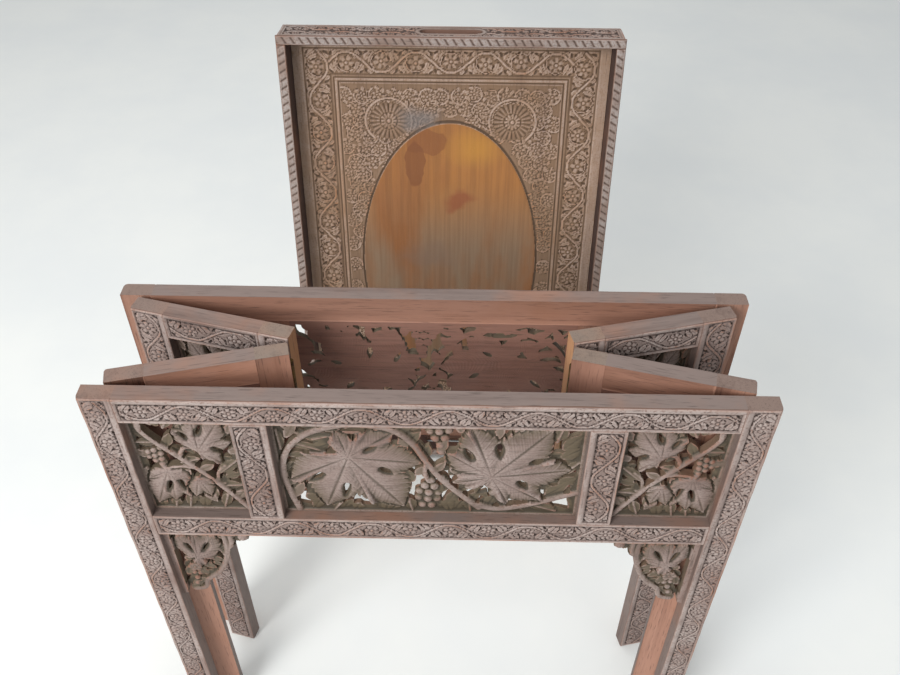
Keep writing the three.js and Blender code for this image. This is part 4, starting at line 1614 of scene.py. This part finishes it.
@dataclass
class WidePanel:
    """One of the two wide panels on legs."""

    name: str
    joinery: Joinery
    finishes: Finishes

    def build(self, boards: dict[str, Board]) -> None:
        """Sets every board of the panel in its place.

        Args:
            boards: The carved boards, by kind.
        """
        place = panel_place(self.name)
        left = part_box(f"{self.name}_left_stile")
        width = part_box(f"{self.name}_right_stile")[1].x - left[0].x
        body = f"{self.name}_panel"
        seed = 10 if self.name == "front" else 50
        near, far = ("left", "right") if self.name == "front" else ("right", "left")
        wood = self.finishes.frame
        open_wood = self.finishes.openwork

        def put(kind: str, where: Place, node: str, finish: bpy.types.Material, slot: Slot,
                lengthwise: bool = True) -> None:
            """Sets one board in its place.

            Args:
                kind: The board's kind.
                where: Its place.
                node: The CAD node that it stands for, without the panel's name.
                finish: Its material.
                slot: The record's slot for its finish.
                lengthwise: Whether the grain runs along its length.
            """
            nonlocal seed
            seed += 1
            boards[kind].set_in(where, f"{self.name}_{node}_wood", body, [f"{self.name}_{node}"],
                                slot, finish, seed, lengthwise)

        halves = ((near, place), (far, place.moved(across=width).mirrored()))
        for side, where in halves:
            put("stile", where, f"{side}_stile", wood, Slot.CARVED)
        sizes = self.joinery
        inset = sizes.stile_width * MM
        for rail in ("top_rail", "lower_rail"):
            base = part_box(f"{self.name}_{rail}")[0].z
            put(rail, place.moved(across=inset, along=base).lying(), rail, wood, Slot.CARVED)
        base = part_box(f"{self.name}_lower_rail")[1].z
        window = sizes.side_window * MM
        muntin = sizes.muntin_width * MM
        for side, where in halves:
            upright = where.moved(across=inset + window, along=base)
            put("muntin", upright, f"{side}_muntin", wood, Slot.CARVED)
            put("side_carving", where.moved(across=inset, along=base), f"{side}_carving", open_wood,
                Slot.OPENWORK, False)
            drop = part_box(f"{self.name}_lower_rail")[0].z - sizes.bracket_size[1] * MM
            put("bracket", where.moved(across=inset, along=drop), f"{side}_bracket", open_wood,
                Slot.OPENWORK)
        put("centre_carving", place.moved(across=inset + window + muntin, along=base),
            "centre_carving", open_wood, Slot.OPENWORK, False)


@dataclass
class SideLeaf:
    """One of the four narrow leaves that fold inwards between the panels."""

    depth: Depth
    side: Side
    joinery: Joinery
    finishes: Finishes
    joints: dict[str, dict[str, Any]]
    gap: float = 1.0

    def place(self) -> Place:
        """Finds the leaf's hinged edge on its plain face, at the floor.

        Returns:
            The place.
        """
        hinge = self.joints["rear_right_hinge"]
        angle = math.radians(-hinge["range_deg"][0])
        x = abs(hinge["pos_m"][0])
        y = hinge["pos_m"][1]
        if self.depth is Depth.FRONT:
            y = self.joints["front_left_hinge"]["pos_m"][1]
        sign = self.side.value
        deep = self.depth.value
        along = Vector((-sign * math.cos(angle), -deep * math.sin(angle), 0))
        out = Vector((sign * math.sin(angle), -deep * math.cos(angle), 0))
        corner = Vector((sign * x, y, 0)) + out * self.gap * MM
        return Place(corner, along, Vector((0, 0, 1)), out)

    def build(self, boards: dict[str, Board]) -> None:
        """Sets every board of the leaf in its place.

        Args:
            boards: The carved boards, by kind.
        """
        body = f"{self.depth.name.lower()}_{self.side.name.lower()}_leaf"
        place = self.place()
        seed = 100 + 20 * self.side.value + 7 * self.depth.value
        length = self.joinery.leaf_length * MM
        leg = self.joinery.leg_width * MM
        wood = self.finishes.frame
        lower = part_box(f"{body}_lower_rail")
        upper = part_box(f"{body}_top_rail")
        rows = [
            ("leg", place, "leg", wood, Slot.CARVED, True),
            ("fold_stile", place.moved(across=length, along=lower[0].z).mirrored(),
             "fold_stile", self.finishes.fold, Slot.CARVED, True),
            ("leaf_rail", place.moved(across=leg, along=lower[0].z).lying(), "lower_rail", wood,
             Slot.CARVED, True),
            ("leaf_rail", place.moved(across=leg, along=upper[0].z).lying(), "top_rail", wood,
             Slot.CARVED, True),
            ("side_carving",
             place.moved(across=length - self.joinery.fold_width * MM, along=lower[1].z).mirrored(),
             "carving", self.finishes.openwork, Slot.OPENWORK, False),
        ]
        for kind, where, node, finish, slot, lengthwise in rows:
            seed += 1
            boards[kind].set_in(where, f"{body}_{node}_wood", body, [f"{body}_{node}"], slot, finish,
                                seed, lengthwise)


# Each stain's colour, middle, half sizes, softness, wandering and strength, as _stain takes them.
CARVING_STAIN = (colour(112, 106, 104), (0.160, 0.548), (0.045, 0.026), 0.8, 0.05, 0.7)
TRAY_STAINS = [
    (colour(186, 132, 52), (0.238, 0.505), (0.05, 0.04), 0.95, 0.02, 0.6),
    (colour(128, 78, 42), (0.176, 0.516), (0.032, 0.020), 0.10, 0.035, 0.75),
    (colour(118, 70, 38), (0.156, 0.482), (0.013, 0.036), 0.12, 0.025, 0.75),
    (colour(134, 72, 42), (0.218, 0.428), (0.036, 0.018), 0.6, 0.05, 0.75),
    (colour(124, 98, 80), (0.17, 0.335), (0.06, 0.03), 0.9, 0.05, 0.6),
]


@dataclass
class Tray:
    """The shallow carved tray that leans on the wall behind the stand."""

    FLOOR = (407.0, 652.0)
    OVAL = (248.0, 428.0)

    finishes: Finishes
    record: dict[str, Any]
    width: float = 430.0
    length: float = 675.0
    depth: float = 50.0
    rim: float = 11.5
    board: float = 9.0
    foot: float = 3.0
    carving_depth: float = 0.8
    gouge: float = 1.5
    plain_strip: float = 16.5
    band: float = 30.0
    moulding: float = 13.0
    step: float = 1.4
    rope_depth: float = 3.0
    slot_size: Point = (78.0, 17.0)
    slot_from_rim: float = 28.7
    body: str = "tray"
    corner: Place = field(init=False)

    def __post_init__(self) -> None:
        """Finds the tray's back lower edge from its side board and its floor's direction."""
        mounts = {m["name"]: m for m in self.record["mounts"]}
        out = Vector(mounts["tray_floor"]["axis"])
        up = Vector((0, -out.z, out.y)) * -1
        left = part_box("tray_upper_end")[0].x
        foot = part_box("tray_lower_end")[0]
        back = foot.y - out.y * self.depth * MM
        self.corner = Place(Vector((left, back, foot.z)), Vector((1, 0, 0)), up, out)

    def floor_relief(self) -> Relief:
        """Carves the floor: a plain oval in a field of flowers, a moulding and a band of vines.

        Returns:
            The carved face.
        """
        width, length = self.FLOOR
        relief = Relief(width, length, self.step, self.board)
        strip = self.plain_strip
        relief.sink((strip, strip), (width - strip, length - strip), self.carving_depth)
        top = self.board - 0.1
        rng = np.random.default_rng(7)
        inner = strip + self.band
        field_edge = inner + self.moulding
        middle = strip + self.band / 2
        relief.gouge = self.gouge
        swing = self.band / 2 - 2.2
        for seed, side in enumerate((middle, width - middle)):
            relief.vine((side, strip), (side, length - strip), 43, swing, top, 20 + seed, True)
        for seed, end in enumerate((middle, length - middle)):
            relief.vine((strip + self.band, end), (width - strip - self.band, end), 43, swing, top,
                        30 + seed, True)
        self._fill(relief, field_edge, top, rng)
        self._frame_strip(relief, inner, field_edge, top - 0.3)
        for line in (strip - 2.0, inner + 1.6, inner + 5.0, field_edge - 2.2):
            relief.line((line, line), (width - line, length - line), 1.2, 1.0)
        oval = np.hypot((relief.u - width / 2) / (self.OVAL[0] / 2),
                        (relief.v - length / 2) / (self.OVAL[1] / 2))
        outside = (oval - 1) * self.OVAL[0] / 2
        relief.height = np.where(outside < 0, self.board, relief.height)
        relief.height -= 1.3 * np.exp(-(((outside - 1.0) / 1.1) ** 2))
        relief.plain = outside < -5
        return relief

    def _frame_strip(self, relief: Relief, low: float, high: float, height: float) -> None:
        """Leaves the plain moulding between the band and the field.

        Args:
            relief: The floor's carved face.
            low: Its outer edge, from the floor's edge.
            high: Its inner edge.
            height: Height of its face.
        """
        width, length = self.FLOOR
        outer = relief.within((low, low), (width - low, length - low))
        inner = relief.within((high, high), (width - high, length - high))
        share = np.clip(np.minimum(outer, -inner) / 0.8, 0, 1)
        relief.height = relief.height * (1 - share) + height * share

    def _fill(self, relief: Relief, margin: float, top: float, rng: np.random.Generator) -> None:
        """Fills the field round the oval with sprays, small leaves and two great daisies.

        Args:
            relief: The floor's carved face.
            margin: The field's edge, from the floor's edge.
            top: Height of the carving.
            rng: Source of the small differences.
        """
        width, length = self.FLOOR
        pitch = 21.0
        rows = int((length - 2 * margin) / (pitch * 0.87))
        places = []
        for row in range(rows + 1):
            for place in range(int((width - 2 * margin) / pitch) + 2):
                u = margin + 6 + (place + 0.5 * (row % 2)) * pitch + rng.uniform(-2.5, 2.5)
                v = margin + 6 + row * pitch * 0.87 + rng.uniform(-2.5, 2.5)
                oval = math.hypot((u - width / 2) / (self.OVAL[0] / 2 + 4),
                                  (v - length / 2) / (self.OVAL[1] / 2 + 4))
                if oval > 1 and u < width - margin and v < length - margin:
                    places.append((u, v))
        for u, v in places:
            turn = rng.uniform(0, 6.28)
            for leaf in range(7):
                angle = turn + leaf * 0.9
                near = (u + 6.5 * math.cos(angle), v + 6.5 * math.sin(angle))
                far = (u + 12.5 * math.cos(angle + 0.45), v + 12.5 * math.sin(angle + 0.45))
                relief.leaflet(near, far, rng.uniform(4.2, 5.4), top, True)
            arc = [(u + 10.5 * math.cos(turn + a), v + 10.5 * math.sin(turn + a))
                   for a in np.linspace(0, 3.4, 6)]
            relief.stem(arc, 2.6, top, 0.7, True)
        for u, v in places:
            relief.flower((u, v), rng.uniform(5.6, 7.2), int(rng.integers(5, 8)), top, rng.uniform(0, 3))
        for end in (-1, 1):
            for side in (-1, 1):
                centre = (width / 2 + side * 82, length / 2 + end * (length / 2 - 110))
                loop = [(centre[0] + side * 31 * math.cos(a), centre[1] + end * 31 * math.sin(a))
                        for a in np.linspace(-0.9, 3.6, 12)]
                relief.stem(loop, 4.2, top + 0.1, 0.7, True)
                relief.flower(centre, 26, 22, top - 0.3, 0, 0.42)
                relief.flower(centre, 11, 12, top + 0.1, 0, 0.3)

    def wall_relief(self, length: float, slotted: bool) -> Relief:
        """Carves the outside of one of the tray's four walls.

        Args:
            length: The wall's length.
            slotted: Whether it has a hand slot.

        Returns:
            The carved face.
        """
        depth = self.depth - self.rope_depth
        relief = Relief(depth, length, 1.15, self.rim)
        relief.sink((6, 7), (depth - 6, length - 7), 1.7)
        for line in (3.4, 5.0):
            relief.line((line, line + 1), (depth - line, length - line - 1), 0.9, 0.6)
        top = self.rim - 0.2
        for side, seed in ((0.29, 5), (0.71, 6)):
            relief.vine((depth * side, 8), (depth * side, length - 8), 30, 6.4, top, seed)
        if slotted:
            half = (self.slot_size[0] - self.slot_size[1]) / 2
            centre = self.depth - self.slot_from_rim
            along = np.clip(np.abs(relief.v - length / 2) - half, 0, None)
            outside = np.hypot(relief.u - centre, along) - self.slot_size[1] / 2
            ring = np.clip(1 - np.abs(outside - 3.2) / 3.4, 0, 1)
            relief.height = np.where((outside < 7) & (outside > 0), top - 1.7, relief.height)
            relief.height = np.where(ring > 0, np.maximum(relief.height, top - 0.9 + ring), relief.height)
            relief.wood = outside
        relief.wear(1.0, 0.8, 3.0, 3.0, 9)
        return relief

    def rope_relief(self, length: float) -> Relief:
        """Carves the twisted rope along a rim board's open edge.

        Args:
            length: The board's length.

        Returns:
            The carved face.
        """
        relief = Relief(self.rim, length, 0.95, self.rope_depth + 0.5)
        across = (relief.u - self.rim / 2) / (self.rim / 2)
        twist = (relief.v / 10.5 + 0.34 * across) % 1
        strand = 0.5 - 0.5 * np.cos(2 * np.pi * twist)
        band = np.clip((0.8 - np.abs(across)) / 0.2, 0, 1)
        relief.height = relief.top - band * 0.9 * (1 - strand) ** 3 - 0.5 * across**2
        relief.wear(0.9, 0.9, 1.0, 1.0, 3)
        return relief

    def build(self) -> None:
        """Makes the floor, the four walls and the rope round the rim."""
        floor = self.corner.moved(across=self.rim * MM, along=self.rim * MM, out=self.foot * MM)
        board = Board("tray_floor", self.floor_relief(), 0.0)
        board.set_in(floor, "tray_board_wood", self.body, ["tray_board"], Slot.TRAY,
                     self.finishes.tray_floor, 300)
        self._walls("side", self.length - 2 * self.rim, False)
        self._walls("end", self.width, True)

    def _walls(self, kind: str, length: float, slotted: bool) -> None:
        """Makes a pair of opposite walls with their ropes.

        Args:
            kind: "side" or "end".
            length: Their length.
            slotted: Whether they have hand slots.
        """
        board = Board(f"tray_{kind}", self.wall_relief(length, slotted), 0.0)
        rope = Board(f"tray_{kind}_rope", self.rope_relief(length), 0.0, 0.3)
        corner = self.corner
        rim = self.rim * MM
        if kind == "side":
            names = ("left_side", "right_side")
            start = corner.moved(along=rim).origin
            reach, face, run = self.width * MM, corner.across, corner.along
        else:
            names = ("lower_end", "upper_end")
            start = corner.origin
            reach, face, run = self.length * MM, corner.along, corner.across
        sides = zip(names, (rim, reach - rim), (-face, face))
        for seed, (name, shift, out) in enumerate(sides, 310 if slotted else 320):
            place = Place(start + face * shift, corner.out, run, out)
            board.set_in(place, f"tray_{name}_wood", self.body, [f"tray_{name}"], Slot.CARVED,
                         self.finishes.tray_walls, seed)
            lift = (self.depth - self.rope_depth) * MM
            edge = Place(place.moved(across=lift).origin, place.out, place.along, place.across)
            rope.set_in(edge, f"tray_{name}_rope", self.body, [], Slot.CARVED,
                        self.finishes.tray_walls, seed + 40)


@dataclass
class Hinges:
    """The brass hinges: the upper ones from the frame, and lower ones like them."""

    finishes: Finishes
    drop: float = 108.0
    screw_radius: float = 2.1
    screw_rise: float = 12.0

    def build(self, nodes: dict[str, bpy.types.Object]) -> None:
        """Dresses the upper hinges, and makes the lower ones and the screws.

        Args:
            nodes: The CAD nodes.
        """
        for name in sorted(n for n in nodes if n.endswith("_plate")):
            node = nodes[name]
            node.data.materials.clear()
            node.data.materials.append(self.finishes.brass)
            self._lower(name, node)
            self._screws(name, node)

    def _lower(self, name: str, node: bpy.types.Object) -> None:
        """Makes the lower plate that matches an upper one.

        Args:
            name: The upper plate's name.
            node: The upper plate.
        """
        body = bmesh.new()
        body.from_mesh(node.data)
        bmesh.ops.remove_doubles(body, verts=body.verts, dist=1e-6)
        bmesh.ops.dissolve_limit(body, angle_limit=math.radians(2), verts=body.verts, edges=body.edges)
        bmesh.ops.translate(body, verts=body.verts, vec=(0, 0, -self.drop * MM))
        mesh = bpy.data.meshes.new(f"{name}_lower")
        body.to_mesh(mesh)
        body.free()
        mesh.materials.append(self.finishes.brass)
        piece = bpy.data.objects.new(f"{name}_lower", mesh)
        bevel = piece.modifiers.new("worn_edges", "BEVEL")
        bevel.width = 0.0002
        bevel.segments = 2
        bevel.limit_method = "ANGLE"
        fit(piece, node["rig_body"], [], Slot.BRASS)

    def _screws(self, name: str, node: bpy.types.Object) -> None:
        """Makes the slotted screw heads of an upper plate and of the one below it.

        Args:
            name: The upper plate's name.
            node: The upper plate.
        """
        plate = bmesh.new()
        plate.from_mesh(node.data)
        bmesh.ops.dissolve_limit(plate, angle_limit=math.radians(2), verts=plate.verts,
                                 edges=plate.edges)
        faces = sorted(plate.faces, key=lambda f: f.calc_area(), reverse=True)[:2]
        shown = max(faces, key=lambda f: self._outward(name, f))
        centre, out = shown.calc_center_bounds(), shown.normal.copy()
        plate.free()
        up = Vector((0, 0, 1))
        body = bmesh.new()
        for drop in (0.0, self.drop):
            for rise in (-self.screw_rise, self.screw_rise):
                place = centre + up * (rise - drop) * MM + out * 0.0001
                turned = Matrix((up.cross(out), up, out)).transposed().to_4x4()
                self._screw(body, Matrix.Translation(place) @ turned)
        mesh = bpy.data.meshes.new(f"{name}_screws")
        body.to_mesh(mesh)
        body.free()
        mesh.materials.append(self.finishes.brass)
        fit(bpy.data.objects.new(f"{name}_screws", mesh), node["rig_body"], [], Slot.BRASS)

    def _outward(self, name: str, face: bmesh.types.BMFace) -> float:
        """How much a plate's face looks out of the wood that the plate is let into."""
        middle = face.calc_center_bounds()
        if "fold" in name:
            return -face.normal.x * math.copysign(1, middle.x)
        away = 1 if "panel" in name else -1
        return -away * face.normal.y * math.copysign(1, middle.y)

    def _screw(self, body: bmesh.types.BMesh, place: Matrix) -> None:
        """Adds one low domed screw head with a slot.

        Args:
            body: The mesh to add it to.
            place: Its middle, its slot's direction and its axis.
        """
        radius = self.screw_radius * MM
        for side in (-1, 1):
            made = bmesh.ops.create_cone(body, cap_ends=True, segments=20, radius1=radius,
                                         radius2=0.8 * radius, depth=0.0005)["verts"]
            edge = radius / 7
            for vert in made:
                vert.co.x = side * max(edge, side * vert.co.x)
            bmesh.ops.remove_doubles(body, verts=made, dist=1e-6)
            made = [v for v in body.verts if v.tag is False]
            bmesh.ops.transform(body, matrix=place, verts=made)
            for vert in made:
                vert.tag = True


@dataclass(frozen=True)
class Lamp:
    """A round soft light."""

    name: str
    place: tuple[float, float, float]
    size: float
    power: float

    def build(self, aim: Vector) -> None:
        """Makes the lamp, turned to a point.

        Args:
            aim: The point.
        """
        light = bpy.data.lights.new(self.name, "AREA")
        light.shape = "DISK"
        light.size = self.size
        light.energy = self.power
        lamp = bpy.data.objects.new(self.name, light)
        lamp.location = self.place
        lamp.rotation_euler = (aim - Vector(self.place)).to_track_quat("-Z", "Y").to_euler()
        bpy.context.scene.collection.objects.link(lamp)


@dataclass
class Studio:
    """The pale floor, the soft light and the camera."""

    LAMPS = (Lamp("window", (-1.3, -2.2, 1.9), 1.5, 73.0), Lamp("ceiling", (-0.3, 0.4, 2.8), 2.0, 26.0))

    finishes: Finishes
    camera_place: tuple[float, float, float] = (0.0288, -0.8172, 1.1684)
    pitch: float = 43.095
    yaw: float = -1.0866
    roll: float = -0.2002
    lens: float = 36.536
    floor_size: float = 6.0
    room_colour: Colour = (0.94, 0.97, 1.0)
    room_light: float = 0.53
    aim: tuple[float, float, float] = (0.0, -0.1, 0.4)

    def build(self) -> None:
        """Makes the floor, the lights and the camera."""
        self._floor()
        self._lights()
        self._camera()

    def _floor(self) -> None:
        """Makes the floor."""
        body = bmesh.new()
        bmesh.ops.create_grid(body, x_segments=8, y_segments=8, size=self.floor_size)
        mesh = bpy.data.meshes.new("floor")
        body.to_mesh(mesh)
        body.free()
        mesh.materials.append(self.finishes.floor)
        floor = bpy.data.objects.new("floor", mesh)
        bpy.context.scene.collection.objects.link(floor)
        floor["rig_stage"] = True

    def _lights(self) -> None:
        """Makes a bright soft room, a light from the left and one from above."""
        scene = bpy.context.scene
        scene.view_settings.view_transform = "Standard"
        world = bpy.data.worlds.new("room")
        world.use_nodes = True
        room = world.node_tree.nodes["Background"]
        room.inputs[0].default_value = (*self.room_colour, 1.0)
        room.inputs[1].default_value = self.room_light
        scene.world = world
        for lamp in self.LAMPS:
            lamp.build(Vector(self.aim))

    def _camera(self) -> None:
        """Makes the camera, which looks down on the stand from the front."""
        data = bpy.data.cameras.new("camera")
        data.lens = self.lens
        data.sensor_width = 36.0
        camera = bpy.data.objects.new("camera", data)
        pitch, yaw, roll = (math.radians(a) for a in (self.pitch, self.yaw, self.roll))
        ahead = Vector((math.sin(yaw) * math.cos(pitch), math.cos(yaw) * math.cos(pitch),
                        -math.sin(pitch)))
        level = Vector((math.cos(yaw), -math.sin(yaw), 0))
        down = ahead.cross(level)
        right = level * math.cos(roll) + down * math.sin(roll)
        below = down * math.cos(roll) - level * math.sin(roll)
        turned = Matrix((right, -below, -ahead)).transposed()
        camera.matrix_world = Matrix.Translation(self.camera_place) @ turned.to_4x4()
        bpy.context.scene.collection.objects.link(camera)
        bpy.context.scene.camera = camera


def main() -> None:
    """Builds the looks round the frame, piece by piece."""
    logging.basicConfig(level=logging.INFO, format="%(relativeCreated)7.0f ms %(message)s")
    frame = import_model()
    cad_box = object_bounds()
    finishes = Finishes()
    joinery = Joinery()
    boards = joinery.carve()
    for name in ("front", "rear"):
        WidePanel(name, joinery, finishes).build(boards)
    joints = {joint["name"]: joint for joint in frame["joints"]}
    for depth in Depth:
        for side in Side:
            SideLeaf(depth, side, joinery, finishes, joints).build(boards)
    Tray(finishes, frame["record"]).build()
    Hinges(finishes).build(frame["nodes"])
    Studio(finishes).build()
    boxes = {"cad": cad_box, "visual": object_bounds()}
    {k: [list(c) for c in box] for k, box in boxes.items()}


if __name__ == "__main__":
    main()
